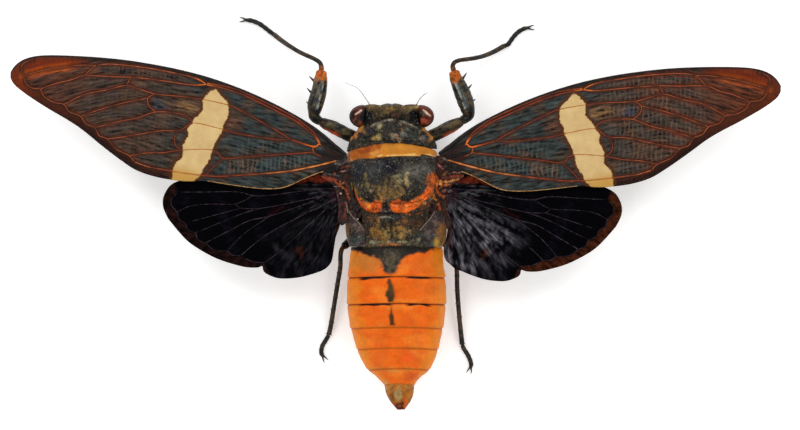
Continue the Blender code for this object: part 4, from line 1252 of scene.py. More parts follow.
@dataclass
class Studio:
    """A pale floor, soft lights all round, and a camera straight above."""

    width: float = 140.0
    centre: tuple[float, float] = (-0.61, 0.26)
    height: float = 1200.0
    focus_z: float = 11.0
    floor_size: float = 3.0
    floor_glow: float = 0.34
    surround: float = 0.34
    light_size: tuple[float, float] = (0.35, 1.0)
    # Rows of name, bearing from the head in degrees, reach and height in metres, and power in watts
    lamps: tuple = (
        ("front_left", 40, 0.75, 0.75, 4.4), ("front_right", -40, 0.75, 0.75, 3.8),
        ("rear_left", 140, 0.8, 0.7, 2.8), ("rear_right", -140, 0.8, 0.7, 2.8),
    )

    def camera(self) -> None:
        """Sets the camera so that the picture is 140 mm wide at the wings."""
        data = bpy.data.cameras.new("camera")
        data.sensor_width = 36.0
        data.lens = data.sensor_width * (self.height - self.focus_z) / self.width
        data.clip_start, data.clip_end = 0.01, 20.0
        item = bpy.data.objects.new("camera", data)
        item.location = (self.centre[0] * MM, self.centre[1] * MM, self.height * MM)
        item.rotation_euler = (0.0, 0.0, math.pi)
        bpy.context.scene.collection.objects.link(item)
        bpy.context.scene.camera = item

    def floor(self) -> None:
        """Lays matt white paper under the animal."""
        graph = NodeGraph("matt_white_paper")
        place = graph.add("TexCoord", out="Object")
        grain = graph.add("TexNoise", {"Vector": place, "Scale": 900.0, "Detail": 3.0})
        colour = graph.add("Mix", {0: grain, 6: linear("F6F6F5"), 7: linear("FFFFFF")}, data_type="RGBA")
        graph.feed(graph.shader, {
            "Base Color": colour, "Roughness": 0.95, "Specular IOR Level": 0.0,
            "Emission Color": (1.0, 1.0, 1.0, 1.0), "Emission Strength": self.floor_glow,
        })
        deselect()
        bpy.ops.mesh.primitive_plane_add(size=self.floor_size)
        item = bpy.context.active_object
        item.name = "floor"
        item.data.materials.append(graph.material)

    def lights(self) -> None:
        """Hangs four large soft lights round the animal, and a dim white surround."""
        world = bpy.data.worlds.new("studio")
        bpy.context.scene.world = world
        world.use_nodes = True
        world.node_tree.nodes["Background"].inputs["Color"].default_value = (1.0, 1.0, 1.0, 1.0)
        world.node_tree.nodes["Background"].inputs["Strength"].default_value = self.surround
        for name, turn, reach, height, power in self.lamps:
            data = bpy.data.lights.new(name, "AREA")
            data.energy = power
            data.shape = "RECTANGLE"
            data.size, data.size_y = self.light_size
            item = bpy.data.objects.new(name, data)
            angle = math.radians(turn)
            item.location = (reach * math.sin(angle), -reach * math.cos(angle), height)
            aim = Vector((0, 0, 0.01)) - item.location
            item.rotation_euler = aim.to_track_quat("-Z", "Y").to_euler()
            bpy.context.scene.collection.objects.link(item)
        bpy.context.scene.view_settings.view_transform = "Standard"

    def build(self) -> None:
        """Sets up the whole studio."""
        self.camera()
        self.floor()
        self.lights()


Seam = tuple[float, float, float]

# Seams across the body: place at the middle, how far the sides lie behind it, and the curve's power
HEAD_FRONT: Seam = (-18.75, 0.4, 2)
NECK: Seam = (-16.9, 2.3, 2)
COLLAR_FRONT: Seam = (-12.3, 1.3, 2)
COLLAR_REAR: Seam = (-9.95, 1.0, 2)
# The raised welt along the collar's rear edge
COLLAR_WELT = (
    (8.2, -9.0), (5.0, -9.85), (3.0, -10.0), (0.7, -10.2), (-3.2, -10.17), (-5.0, -10.0), (-7.0, -9.7),
)
SHIELD_REAR: Seam = (-1.7, -3.4, 4)
CROSS_REAR: Seam = (0.0, -4.0, 6)
WAIST: Seam = (5.9, 0.3, 2)
ABDOMEN_SEAMS = (10.95, 15.65, 19.85, 23.5, 27.1, 29.8)
TAIL_TIP = 34.45
NOTUM_REACH = 7.2
BODY_MIDDLE = 0.8
COLLAR_SLANT = 0.43
# How far a length of the body laps past the seam ahead, and how its rear edge is rolled in
SEAM_LAP = 0.15
EDGE_ROLL = 0.12
EDGE_SINK = 0.985


def press(rings: Array, amount: Array) -> Array:
    """Moves a skin of rings in or out along its own normals.

    Args:
        rings: (rows, columns, 3) points.
        amount: how far each point moves outward.

    Returns:
        The moved rings.
    """
    lengthwise = np.gradient(rings, axis=0)
    around = np.roll(rings, -1, axis=1) - np.roll(rings, 1, axis=1)
    normal = np.cross(around, lengthwise)
    normal /= np.maximum(np.linalg.norm(normal, axis=2), 1e-9)[..., None]
    outward = rings - rings.mean(axis=1, keepdims=True)
    normal *= np.where((normal * outward).sum(axis=(1, 2)) < 0, -1.0, 1.0)[:, None, None]
    return rings + normal * amount[..., None]


def ridge(flat: Array, line: Sequence, width: float, height: float) -> Array:
    """Raises a rounded ridge, or a groove, along a line on the back."""
    return height * np.exp(-(distance_to(flat, [np.array(line, dtype=float)]) / width) ** 2)


def mound(flat: Array, x: float, y: float, across: float, length: float, height: float) -> Array:
    """Raises a rounded mound, or a hollow, at a place on the back."""
    return height * np.exp(-((flat[:, 0] - x) / across) ** 2 - ((flat[:, 1] - y) / length) ** 2)


def swell(flat: Array, ridges: Sequence, mounds: Sequence = ()) -> Array:
    """Adds up ridges and mounds.

    Args:
        flat: (n, 2) places on the back.
        ridges: rows of line, width and height.
        mounds: rows of place, half sizes and height.

    Returns:
        n heights.
    """
    return sum(ridge(flat, *row) for row in ridges) + sum(mound(flat, *row) for row in mounds)


def both_sides(flat: Array, middle: float, ridges: Sequence, mounds: Sequence = ()) -> Array:
    """Adds up ridges and mounds, given from the middle outwards, and their mirror images."""
    out, along_y = flat[:, 0] - middle, flat[:, 1]
    return sum(swell(np.column_stack((sign * out, along_y)), ridges, mounds) for sign in (1, -1))


@dataclass
class Plate:
    """A length of the body between two seams, tucked under the one ahead of it."""

    name: str
    front: Seam
    rear: Seam

    def stations(self, tuck: float, short: float, rows: int) -> tuple[Array, Array, Array]:
        """Spaces its cross-sections.

        Args:
            tuck: how far it reaches under the length ahead.
            short: how far it stops short of its rear seam.
            rows: how many cross-sections.

        Returns:
            Their places along Y, how far down the length each is, and how far back its sides lie.
        """
        start, end = self.front[0] + SEAM_LAP - tuck, self.rear[0] - short
        y = start + (end - start) * np.linspace(0, 1, rows)
        part = np.clip((y - self.front[0]) / (self.rear[0] - self.front[0]), 0, 1)
        return y, part, self.front[1] + (self.rear[1] - self.front[1]) * part


@dataclass
class Shell(Plate):
    """A ring-shaped length, whose rear edge laps over the next one."""

    roundness: float = 2.4
    limit: float = 99.0
    tuck: float = 0.45
    sink: float = 0.03
    lip: float = 0.008
    slant: float = 0.0
    rows: int = 46
    columns: int = 176

    def rings(self) -> tuple[Array, Array]:
        """Returns the rings and how far up each of their points faces, from -1 to 1."""
        y, part, bow = self.stations(self.tuck, 0.03, self.rows)
        wide = along(HALF_WIDTH, y)
        half = np.minimum(wide, self.limit)
        top, bottom = along(TOP, y), along(BOTTOM, y)
        grow = 1 - self.sink * (1 - ease(y - y[0], 0, self.tuck + 0.5)) + self.lip * ease(part, 0.6, 0.97)
        grow = grow * np.where(y[-1] - y < EDGE_ROLL, EDGE_SINK, 1.0)
        turn = math.tau * np.arange(self.columns) / self.columns
        c, s = np.cos(turn), np.sin(turn)
        power = 2 / self.roundness
        x = (half * grow)[:, None] * (np.sign(c) * np.abs(c) ** power)[None, :]
        round_z = (np.sign(s) * np.abs(s) ** power)[None, :]
        z = ((top + bottom) / 2)[:, None] + ((top - bottom) / 2 * grow)[:, None] * round_z
        reach = x / wide[:, None]
        back = bow[:, None] * reach**2 + (self.slant * part)[:, None] * reach
        rings = np.stack((along(AXIS, y)[:, None] + x, y[:, None] + back, z), axis=2)
        return rings, np.tile(s, (self.rows, 1))

    def piece(self, relief: Callable | None, pigment: Callable) -> Piece:
        """Shapes and paints the shell.

        Args:
            relief: gives heights for flat places and how far up they face.
            pigment: gives colours for the same.

        Returns:
            The piece.
        """
        rings, up = self.rings()
        flat = rings[..., :2].reshape(-1, 2)
        if relief is not None:
            rings = press(rings, relief(flat, up.ravel()).reshape(up.shape))
        points, faces = skin(rings)
        colours = pigment(points[:, :2], np.concatenate((up.ravel(), (0.0, 0.0))))
        return Piece(self.name, points, faces, colours)


@dataclass
class Notum(Plate):
    """A domed plate of the back, flat underneath."""

    width: tuple[float, float]
    tuck: float = 0.3
    drop: float = 0.0
    slant: float = 0.0
    rows: int = 64
    columns: int = 150

    def piece(self, relief: Callable, pigment: Callable) -> Piece:
        """Shapes and paints the plate, as a shell is."""
        y, part, bow = self.stations(self.tuck, 0.05, self.rows)
        power = self.front[2] + (self.rear[2] - self.front[2]) * part
        half = self.width[0] + (self.width[1] - self.width[0]) * part
        base = PLATE_FLOOR
        ramp = self.tuck + (0.5 if self.slant else 0.1)
        inside = np.minimum((y - y[0]) / ramp, (y[-1] - y) / 0.35)
        edge = np.minimum(1.0, np.sqrt(np.clip(1 - (1 - inside).clip(0, 1) ** 2, 0, 1)))
        rise = (along(TOP, y) - base - self.drop) * (0.75 + 0.25 * edge)
        turn = math.pi * np.arange(self.columns + 1) / self.columns
        x = half[:, None] * np.cos(turn)[None, :]
        z = base + 0.25 + (rise[:, None] - 0.25) * np.abs(np.sin(turn)[None, :]) ** 0.8
        middle = along(AXIS, y)[:, None]
        lean = self.slant * (1 - part)[:, None] / NOTUM_REACH
        reach = bow[:, None] * np.abs(x / NOTUM_REACH) ** power[:, None] + lean * x
        upper = np.stack((middle + x, y[:, None] + reach, z), axis=2)
        flat = upper[..., :2].reshape(-1, 2)
        height = relief(flat, np.ones(len(flat))).reshape(upper.shape[:2])
        upper[..., 2] += height * np.sin(turn)[None, :] ** 0.4
        lower_x = -half[:, None] * np.cos(math.pi * np.arange(1, 20) / 20)[None, :]
        lower_reach = bow[:, None] * np.abs(lower_x / NOTUM_REACH) ** power[:, None] + lean * lower_x
        lower = np.stack((middle + lower_x, y[:, None] + lower_reach, np.full_like(lower_x, base)), axis=2)
        points, faces = skin(np.concatenate((upper, lower), axis=1))
        return Piece(self.name, points, faces, pigment(points[:, :2], np.ones(len(points))))


# Pigment of the back, from the head to the tail
HEAD_PATCHES = spots(
    (0.85, -18.7, 4.6, 1.0, "50402C", 0.5, 0.85), (4.2, -18.6, 0.9, 0.4, "6E5634", 0.3, 0.8, 0.6),
    (-3.0, -18.4, 0.6, 0.4, "8E7A44", 0.3, 0.8, 0.6), (1.8, -18.3, 0.9, 0.4, "8A7038", 0.3, 0.8, 0.6),
    (0.3, -18.0, 0.6, 0.5, "1A1612", 0.3, 0.7, 0.6), (3.0, -17.6, 0.8, 0.3, "5E5236", 0.3, 0.7, 0.6),
    (-1.6, -17.9, 0.7, 0.4, "62563E", 0.3, 0.7, 0.6), (-0.9, -18.7, 0.5, 0.2, "8E6A44", 0.2, 0.7, 0.5),
    (5.2, -16.8, 1.0, 1.3, "04070A", 0.2), (-3.2, -16.7, 1.0, 1.5, "04050A", 0.2),
    (0.3, -17.15, 0.9, 0.22, "74342A", 0.2, 0.8), (2.4, -17.0, 1.0, 0.25, 20, "15100C", 0.2, 0.8),
    (-1.2, -17.0, 1.0, 0.25, -20, "15100C", 0.2, 0.8),
)
EYE_PATCHES = {
    Side.LEFT: spots(
        (7.0, -18.3, 1.2, 0.35, 30, "5A2214", 0.25, 0.8), (6.9, -17.3, 1.0, 0.7, 40, "36160E", 0.3, 0.6),
        # A pale streak across the eye: a painted highlight
        (6.6, -17.75, 0.75, 0.15, 35, "D8B4A0", 0.1, 0.85, 0.08),
        (7.3, -16.4, 0.5, 0.25, 60, "7A4A38", 0.2, 0.7), (6.5, -15.7, 0.5, 0.4, 60, "8A4A20", 0.2, 0.7),
        (5.4, -16.8, 0.9, 1.3, "050608", 0.2, 0.98),
    ),
    Side.RIGHT: spots(
        (-5.6, -16.9, 0.9, 1.8, "561C12", 0.4, 0.8), (-4.6, -18.5, 0.9, 0.4, -20, "5A2014", 0.3, 0.7),
        # A pale streak across the eye: a painted highlight
        (-5.3, -17.55, 0.95, 0.13, -38, "DCC0A4", 0.1, 0.85, 0.08),
        (-4.6, -17.3, 0.3, 0.5, "4A4630", 0.2, 0.7), (-4.9, -16.1, 0.6, 0.45, -30, "9E4426", 0.3, 0.8),
        (-3.6, -16.6, 0.8, 1.4, "05050A", 0.2, 0.98),
    ),
}
PRONOTUM_PATCHES = spots(
    Patch(stripe(((5.5, -15.9), (6.3, -15.0), (6.9, -14.1), (7.35, -13.0)), 0.42), "A8662C", 0.2, 0.95, 0.3),
    Patch(stripe(((6.9, -15.3), (6.3, -14.6), (5.6, -14.2)), 0.22), "9A6A34", 0.2, 0.8, 0.3),
    Patch(
        stripe(((-3.9, -15.7), (-4.9, -14.8), (-5.7, -13.8), (-6.3, -12.9)), 0.36), "BC7A28", 0.2, 0.95, 0.3,
    ),
    Patch(
        (
            (6.6, -15.6), (4.6, -15.3), (3.0, -16.1), (0.8, -16.5), (-1.4, -16.1), (-3.6, -15.1),
            (-4.9, -15.2), (-4, -17.5), (5, -17.5),
        ),
        "0B0B0E", 0.15, 0.95, 0.1,
    ),
    Patch(
        stripe(((4.5, -15.2), (3.0, -15.95), (0.8, -16.4), (-1.4, -15.95), (-3.6, -14.95)), 0.1), "8E8272",
        0.1, 0.8, 0.12,
    ),
    (3.2, -13.5, 0.5, 0.45, "948650", 0.3, 0.75, 0.45), (4.0, -13.1, 0.5, 0.22, 20, "94763C", 0.25, 0.7, 0.3),
    (3.0, -15.3, 0.35, 0.55, "9E926C", 0.2, 0.9, 0.4), (-0.1, -13.5, 0.8, 0.4, "A4794A", 0.25, 0.9, 0.6),
    (0.5, -13.6, 0.35, 0.3, "9C8E74", 0.15, 0.8, 0.4), (-0.9, -14.0, 0.35, 0.3, "9C9080", 0.15, 0.8, 0.4),
    (4.35, -14.3, 0.6, 0.35, "241F38", 0.3, 0.75, 0.4), (1.5, -13.1, 0.9, 0.4, "0A0C0E", 0.3, 0.9),
    (-0.7, -15.7, 0.4, 0.2, -30, "A89E82", 0.12, 0.9), (-2.0, -13.9, 0.9, 0.5, "5E635A", 0.3, 0.7, 0.8),
    (-3.1, -13.9, 0.6, 0.6, "1E2E2A", 0.3, 0.7, 0.6), (-4.6, -13.1, 0.3, 0.4, "80726A", 0.15, 0.8, 0.3),
    (-1.3, -15.4, 0.9, 0.5, "3A2A1E", 0.3, 0.8), (5.7, -13.0, 1.0, 0.7, "121A18", 0.3, 0.9),
    (-6.6, -12.3, 0.9, 0.6, "121212", 0.25, 0.9), (7.8, -12.0, 0.8, 0.5, "1A1512", 0.25, 0.9),
    (0.8, -12.65, 5.2, 0.16, "0C0C0E", 0.1, 0.9, 0.1), (4.9, -15.9, 0.9, 0.5, 30, "0A0C0E", 0.3, 0.9),
    (-3.3, -15.9, 0.8, 0.5, -30, "0A0A0E", 0.3, 0.9),
)
COLLAR_PATCHES = spots(
    Patch(((8.9, -12.4), (3.3, -13.3), (2.8, -10.2), (9.0, -8.2)), "9C4A10", 0.5, 0.85, 0.4),
    (5.6, -10.9, 1.1, 0.5, 20, "7E2E0C", 0.3, 0.7), (8.0, -9.5, 0.3, 0.6, "D08A4A", 0.15, 0.8),
    (-1.5, -10.12, 5.4, 0.14, "E2B464", 0.12, 0.8), (3.6, -10.6, 1.2, 0.2, 8, "C88A40", 0.15, 0.7),
    (-1.0, -11.6, 3.0, 0.5, "C4802A", 0.4, 0.6), (2.9, -12.0, 0.3, 0.5, "8A3A10", 0.2, 0.6),
)
SHIELD_PATCHES = spots(
    (-3.4, -7.5, 2.8, 1.7, "585750", 0.9, 0.75, 0.5), (3.6, -7.6, 1.2, 1.4, "353B40", 0.6, 0.7, 0.5),
    (1.0, -8.2, 1.4, 1.0, "080E20", 0.4, 0.95), (6.7, -7.2, 1.2, 1.5, "131B24", 0.5, 0.95),
    (-0.3, -5.9, 0.6, 0.9, "8E865E", 0.25, 0.8, 0.5), (-1.8, -5.9, 0.6, 1.0, "A08A56", 0.3, 0.75, 0.5),
    (5.2, -5.5, 0.35, 1.3, "807044", 0.25, 0.75, 0.5), (1.5, -4.1, 2.7, 1.3, "765A2E", 0.7, 0.9, 0.9),
    (2.6, -6.2, 1.3, 0.8, "1A1C1B", 0.4, 0.8, 0.6), (0.6, -9.4, 6.0, 0.3, "101214", 0.2, 0.8),
    Patch(
        ((-3.2, 1.2), (-4.4, -1.4), (-5.8, -2.9), (-6.6, -3.9), (-8.6, -3.9), (-8.6, 1.2)), "4A2814", 0.2,
        0.9, 0.4,
    ),
    (-5.6, -1.3, 1.2, 0.3, -30, "B0702A", 0.2, 0.8, 0.5),
    (-6.6, -2.6, 0.5, 0.3, -40, "C06A26", 0.2, 0.8, 0.5),
    Patch(
        ((5.0, 1.0), (6.2, -0.4), (7.2, -1.6), (8.0, -3.4), (9.5, -3.4), (9.5, 1.0)), "24140E", 0.2, 0.9, 0.4,
    ),
    (4.5, -3.1, 1.3, 0.8, -25, "120F0C", 0.35, 0.9), (-2.4, -3.1, 1.8, 0.7, 15, "17130E", 0.35, 0.9),
    (4.6, -4.0, 0.3, 0.3, "B0A080", 0.2, 0.8), (7.1, -4.1, 0.6, 0.8, "5E4C20", 0.4, 0.8),
    Patch(
        ((-5.0, -5.2), (-5.4, -7.0), (-6.5, -6.9), (-6.9, -4.4), (-5.7, -3.5), (-5.2, -4.4)), "9A4A1A", 0.3,
        0.95, 0.5,
    ),
    Patch(stripe(((-6.2, -6.9), (-6.4, -5.4), (-5.8, -3.9)), 0.3), "BE5A1C", 0.2, 0.9, 0.3),
    Patch(
        (
            (7.9, -3.7), (7.2, -1.9), (6.3, -0.7), (5.3, -0.2), (4.4, 0.2), (2.8, -0.4), (2.5, -1.4),
            (2.8, -2.2), (3.8, -2.2), (4.7, -1.7), (5.7, -1.9), (6.8, -2.9), (7.3, -4.1),
        ),
        "BC4C12", 0.14, 1.0, 0.16,
    ),
    (5.0, -1.6, 1.6, 0.25, -38, "CE7A2C", 0.2, 0.7),
    Patch(
        (
            (1.3, -1.7), (0.8, -0.4), (-0.3, 0.0), (-1.4, 0.1), (-3.3, -0.9), (-4.7, -2.0), (-5.7, -3.3),
            (-6.3, -4.3), (-5.5, -4.8), (-4.8, -3.7), (-3.9, -3.0), (-2.7, -2.4), (-1.5, -2.1), (-0.1, -2.45),
            (0.8, -2.2),
        ),
        "C25416", 0.14, 1.0, 0.16,
    ),
    (-3.0, -1.9, 2.0, 0.25, 28, "D0762E", 0.2, 0.7, 0.4), (2.6, -2.4, 1.0, 0.4, "A0682C", 0.3, 0.7, 0.6),
    (1.9, -1.5, 0.45, 1.0, "17100F", 0.2, 0.95),
)
WAIST_PATCHES = spots(
    (3.2, 3.3, 1.2, 1.5, "8E6226", 0.5, 0.7, 1.0), (-1.0, 2.9, 1.1, 1.3, "8A642A", 0.5, 0.75, 1.0),
    (1.2, 4.0, 1.6, 0.9, "86703E", 0.5, 0.7, 1.2), (-3.6, 4.2, 1.6, 0.9, "2E3836", 0.4, 0.8, 0.8),
    (0.95, 2.9, 0.22, 2.0, "17120E", 0.2, 0.9), (1.0, 0.6, 2.2, 0.7, "262A2C", 0.4, 0.8),
    (4.4, 1.1, 0.6, 0.6, "5E3424", 0.3, 0.7, 0.6), (-2.6, 1.9, 1.6, 0.6, -15, "5E3620", 0.4, 0.6, 0.8),
    (-2.8, -0.1, 1.6, 0.3, "A85A22", 0.2, 0.7, 0.5), (0.6, 5.2, 6.2, 0.45, "524C3A", 0.3, 0.8, 0.6),
    Patch(stripe(((3.0, 5.5), (1.4, 5.35), (-0.6, 5.45)), 0.1), "A85A28", 0.1, 0.8),
    # A pale line on the raised fold: a painted highlight
    Patch(stripe(((3.0, 0.7), (1.8, 0.6), (0.6, 0.8)), 0.07), "9A9484", 0.08, 0.8, 0.15),
    Patch(stripe(((4.6, 5.0), (2.4, 4.9), (-1.2, 4.95), (-4.4, 4.4)), 0.08), "8A8268", 0.1, 0.7, 0.2),
)
ABDOMEN_PATCHES = spots(
    (5.0, 8.4, 2.4, 1.8, "B4702C", 0.9, 0.8), (-4.9, 9.0, 2.2, 1.7, "CE6218", 0.9, 0.7),
    (-5.6, 13.0, 2.2, 2.2, "D86C22", 0.9, 0.4), (3.0, 25.5, 2.0, 1.3, "D2641E", 0.8, 0.5),
    (-2.0, 25.0, 1.2, 0.9, "E04E18", 0.6, 0.6), (-2.4, 28.4, 1.2, 0.7, "C24C16", 0.5, 0.7),
    (0.5, 27.3, 3.8, 0.35, "B98A44", 0.35, 0.6), (2.2, 30.0, 1.6, 0.5, "B5893F", 0.4, 0.6),
    Patch(
        (
            (7.9, 5.0), (7.6, 6.4), (5.9, 7.1), (4.4, 7.4), (3.4, 7.7), (2.4, 9.0), (2.2, 10.3), (0.0, 10.4),
            (-0.35, 9.0), (-1.0, 8.0), (-1.9, 7.3), (-3.9, 6.8), (-6.4, 6.4), (-6.9, 5.0),
        ),
        "26221E", 0.26, 1.0, 0.16,
    ),
    (1.0, 8.1, 1.3, 1.8, "564C3A", 0.6, 0.9, 0.6), (4.6, 6.6, 2.2, 0.4, "15120F", 0.3, 0.8, 0.4),
    (-3.4, 6.3, 2.6, 0.3, "15120F", 0.25, 0.8, 0.3),
    Patch(
        (
            (1.3, 11.5), (0.95, 11.6), (0.6, 12.6), (0.25, 14.0), (0.5, 15.3), (1.4, 15.4), (1.9, 14.2),
            (1.7, 13.0),
        ),
        "3A2A14", 0.22, 1.0, 0.14,
    ),
    (1.0, 13.6, 0.35, 1.2, "5A4420", 0.3, 0.6, 0.4),
    Patch(((0.95, 16.2), (0.6, 17.4), (0.3, 19.5), (1.25, 19.5), (1.2, 17.6)), "4A2A10", 0.18, 1.0, 0.1),
)


@dataclass
class Thorax:
    """The thorax: pronotum, its collar, the shield with its cross, the waist plate and the flanks."""

    down: Material
    wax: Material

    def pronotum_relief(self, flat: Array, up: Array) -> Array:
        """Folds the pronotum: a raised middle and slanting grooves on each side."""
        height = mound(flat, BODY_MIDDLE, -14.6, 1.0, 1.6, 0.25) + both_sides(flat, BODY_MIDDLE, (
            (((1.1, -16.4), (2.2, -14.6), (4.6, -13.2)), 0.28, -0.3),
            (((3.8, -15.6), (5.0, -14.0), (6.0, -12.6)), 0.25, -0.22),
            (((6.3, -15.2), (7.0, -13.6), (7.1, -12.0)), 0.3, 0.18),
        ), ((3.4, -14.9, 1.1, 0.9, 0.22),))
        return (height + 0.05 * ripple(flat, 0.8, 31)) * ease(up, -0.1, 0.3)

    def shield_relief(self, flat: Array, up: Array) -> Array:
        """Models the shield: four faint long swellings, and the raised orange cross behind them."""
        height = swell(flat, (
            (((1.9, -9.3), (2.6, -5.8)), 0.22, -0.12), (((-0.3, -9.3), (-1.2, -5.8)), 0.22, -0.12),
            (((5.6, -8.6), (5.0, -4.6)), 0.25, -0.15), (((-4.2, -8.6), (-3.8, -4.6)), 0.25, -0.15),
            (((7.3, -3.7), (6.5, -2.0), (5.0, -1.0), (3.4, -1.1), (2.3, -1.7)), 0.55, 0.4),
            (((1.2, -1.6), (-0.5, -1.1), (-2.5, -1.5), (-4.3, -2.5), (-5.7, -4.1)), 0.6, 0.4),
            (((2.4, -2.6), (1.4, -2.6)), 0.25, 0.12),
        ), ((1.9, -1.4, 0.45, 0.7, -0.35),))
        return height + 0.05 * ripple(flat, 0.7, 37) + 0.03 * ripple(flat, 0.3, 38)

    def waist_relief(self, flat: Array, up: Array) -> Array:
        """Models the waist plate: a middle furrow, two swellings and folds behind them."""
        height = swell(
            flat,
            (
                (((0.95, 1.0), (0.95, 5.0)), 0.25, -0.3), (((-3, 0.7), (1, 0.5), (5, 0.7)), 0.22, 0.25),
                (((-5, 4.8), (0.5, 4.7), (5.5, 4.8)), 0.2, -0.2),
                (((-5, 5.5), (0.5, 5.4), (5.5, 5.5)), 0.22, 0.2),
            ),
            ((3.0, 3.2, 1.4, 1.4, 0.35), (-0.9, 3.2, 1.4, 1.4, 0.35)),
        )
        return height + 0.06 * ripple(flat, 0.6, 41) + 0.03 * ripple(flat, 0.25, 42)

    def flanks(self) -> None:
        """Makes the sides and underside, with the seams between their plates."""
        rows, columns = 80, 176
        y = np.linspace(COLLAR_REAR[0] - 0.1, WAIST[0] + 0.1, rows)
        t = (y - y[0]) / (y[-1] - y[0])
        bow = COLLAR_REAR[1] + (WAIST[1] - COLLAR_REAR[1]) * t
        half, bottom = along(THORAX_HALF_WIDTH, y), along(BOTTOM, y)
        turn = math.tau * np.arange(columns) / columns
        c, s = np.cos(turn), np.sin(turn)
        x = half[:, None] * (np.sign(c) * np.abs(c) ** 0.6)[None, :]
        round_z = (np.sign(s) * np.abs(s) ** 0.6)[None, :]
        z = ((PLATE_FLOOR + bottom) / 2)[:, None] + ((PLATE_FLOOR - bottom) / 2)[:, None] * round_z
        back = bow[:, None] * (x / half[:, None]) ** 2
        rings = np.stack((along(AXIS, y)[:, None] + x, y[:, None] + back, z), axis=2)
        side = np.stack((rings[..., 1].ravel(), rings[..., 2].ravel()), axis=1)
        grooves = sum(
            ridge(side, line, 0.25, -0.3)
            for line in (
                ((-6.5, 12), (-5.6, 3)), ((-3.4, 11), (-2.4, 3)), ((0.5, 11), (1.2, 3)),
                ((-9, 8.5), (5, 7.5)),
            )
        )
        away = np.abs(c)[None, :].repeat(rows, axis=0).ravel()
        height = grooves * ease(away, 0.2, 0.6) + 0.1 * ripple(side, 1.4, 51)
        rings = press(rings, height.reshape(rings.shape[:2]))
        points, faces = skin(rings)
        colours = ground_of(len(points), "2A2018")
        colours = layered(colours, ("6E3A1C", 0.7 * ease(ripple(points, 2.0, 53), 0.1, 0.9)))
        colours = layered(colours, ("8A5A28", 0.6 * ease(-points[:, 2], -5.5, -3.0)))
        Piece("thorax_flanks", points, faces, colours).finish(self.down, "dark_chitin", ["thorax"])

    def build(self) -> None:
        """Makes every plate of the thorax."""
        Shell("pronotum_plate", NECK, COLLAR_FRONT, tuck=0.5, slant=0.25, rows=70).piece(
            self.pronotum_relief, self.pigment("272321", PRONOTUM_PATCHES, 60, "3A2A1C"),
        ).finish(self.down, "dark_chitin", ["pronotum"])
        collar = Shell(
            "pronotum_collar", COLLAR_FRONT, COLLAR_REAR,
            tuck=0.1, sink=0.02, lip=0.04, slant=COLLAR_SLANT, rows=40,
        )
        collar.piece(
            lambda flat, up: 0.04 * ripple(flat, 0.9, 33) + ridge(flat, COLLAR_WELT, 0.28, 0.1),
            self.pigment("BC7624", COLLAR_PATCHES, 70, "5A3A1E"),
        ).finish(self.wax, "ochre_chitin", ["pronotal_collar"])
        shield = self.pigment("292625", SHIELD_PATCHES, 80)
        Notum("shield_plate", COLLAR_REAR, SHIELD_REAR, (7.4, 7.25), tuck=0.75, slant=COLLAR_SLANT).piece(
            self.shield_relief, shield,
        ).finish(self.down, "dark_chitin", ["mesonotum"])
        Notum("shield_cross", SHIELD_REAR, CROSS_REAR, (7.25, 7.0)).piece(
            self.shield_relief, shield,
        ).finish(self.down, "ochre_chitin", ["cruciform_ridge"])
        Notum("waist_plate", CROSS_REAR, WAIST, (5.8, 5.95), drop=0.25).piece(
            self.waist_relief, self.pigment("29221C", WAIST_PATCHES, 120),
        ).finish(self.down, "dark_chitin", ["metanotum"])
        self.flanks()

    def pigment(self, ground: str, patches: Sequence[Patch], seed: int, below: str | None = None) -> Callable:
        """Returns what paints a plate.

        Args:
            ground: its ground colour.
            patches: what is laid on it.
            seed: picks how their edges wander.
            below: the underside's colour, where the plate has one.

        Returns:
            A function of flat places and how far up they face, which gives colours.
        """
        def painted(flat: Array, up: Array) -> Array:
            """Paints the ground, the patches and the underside."""
            colours = paint(flat, ground_of(len(flat), ground), patches, seed)
            return layered(colours, (below, ease(-up, 0.0, 0.4))) if below else colours

        return painted


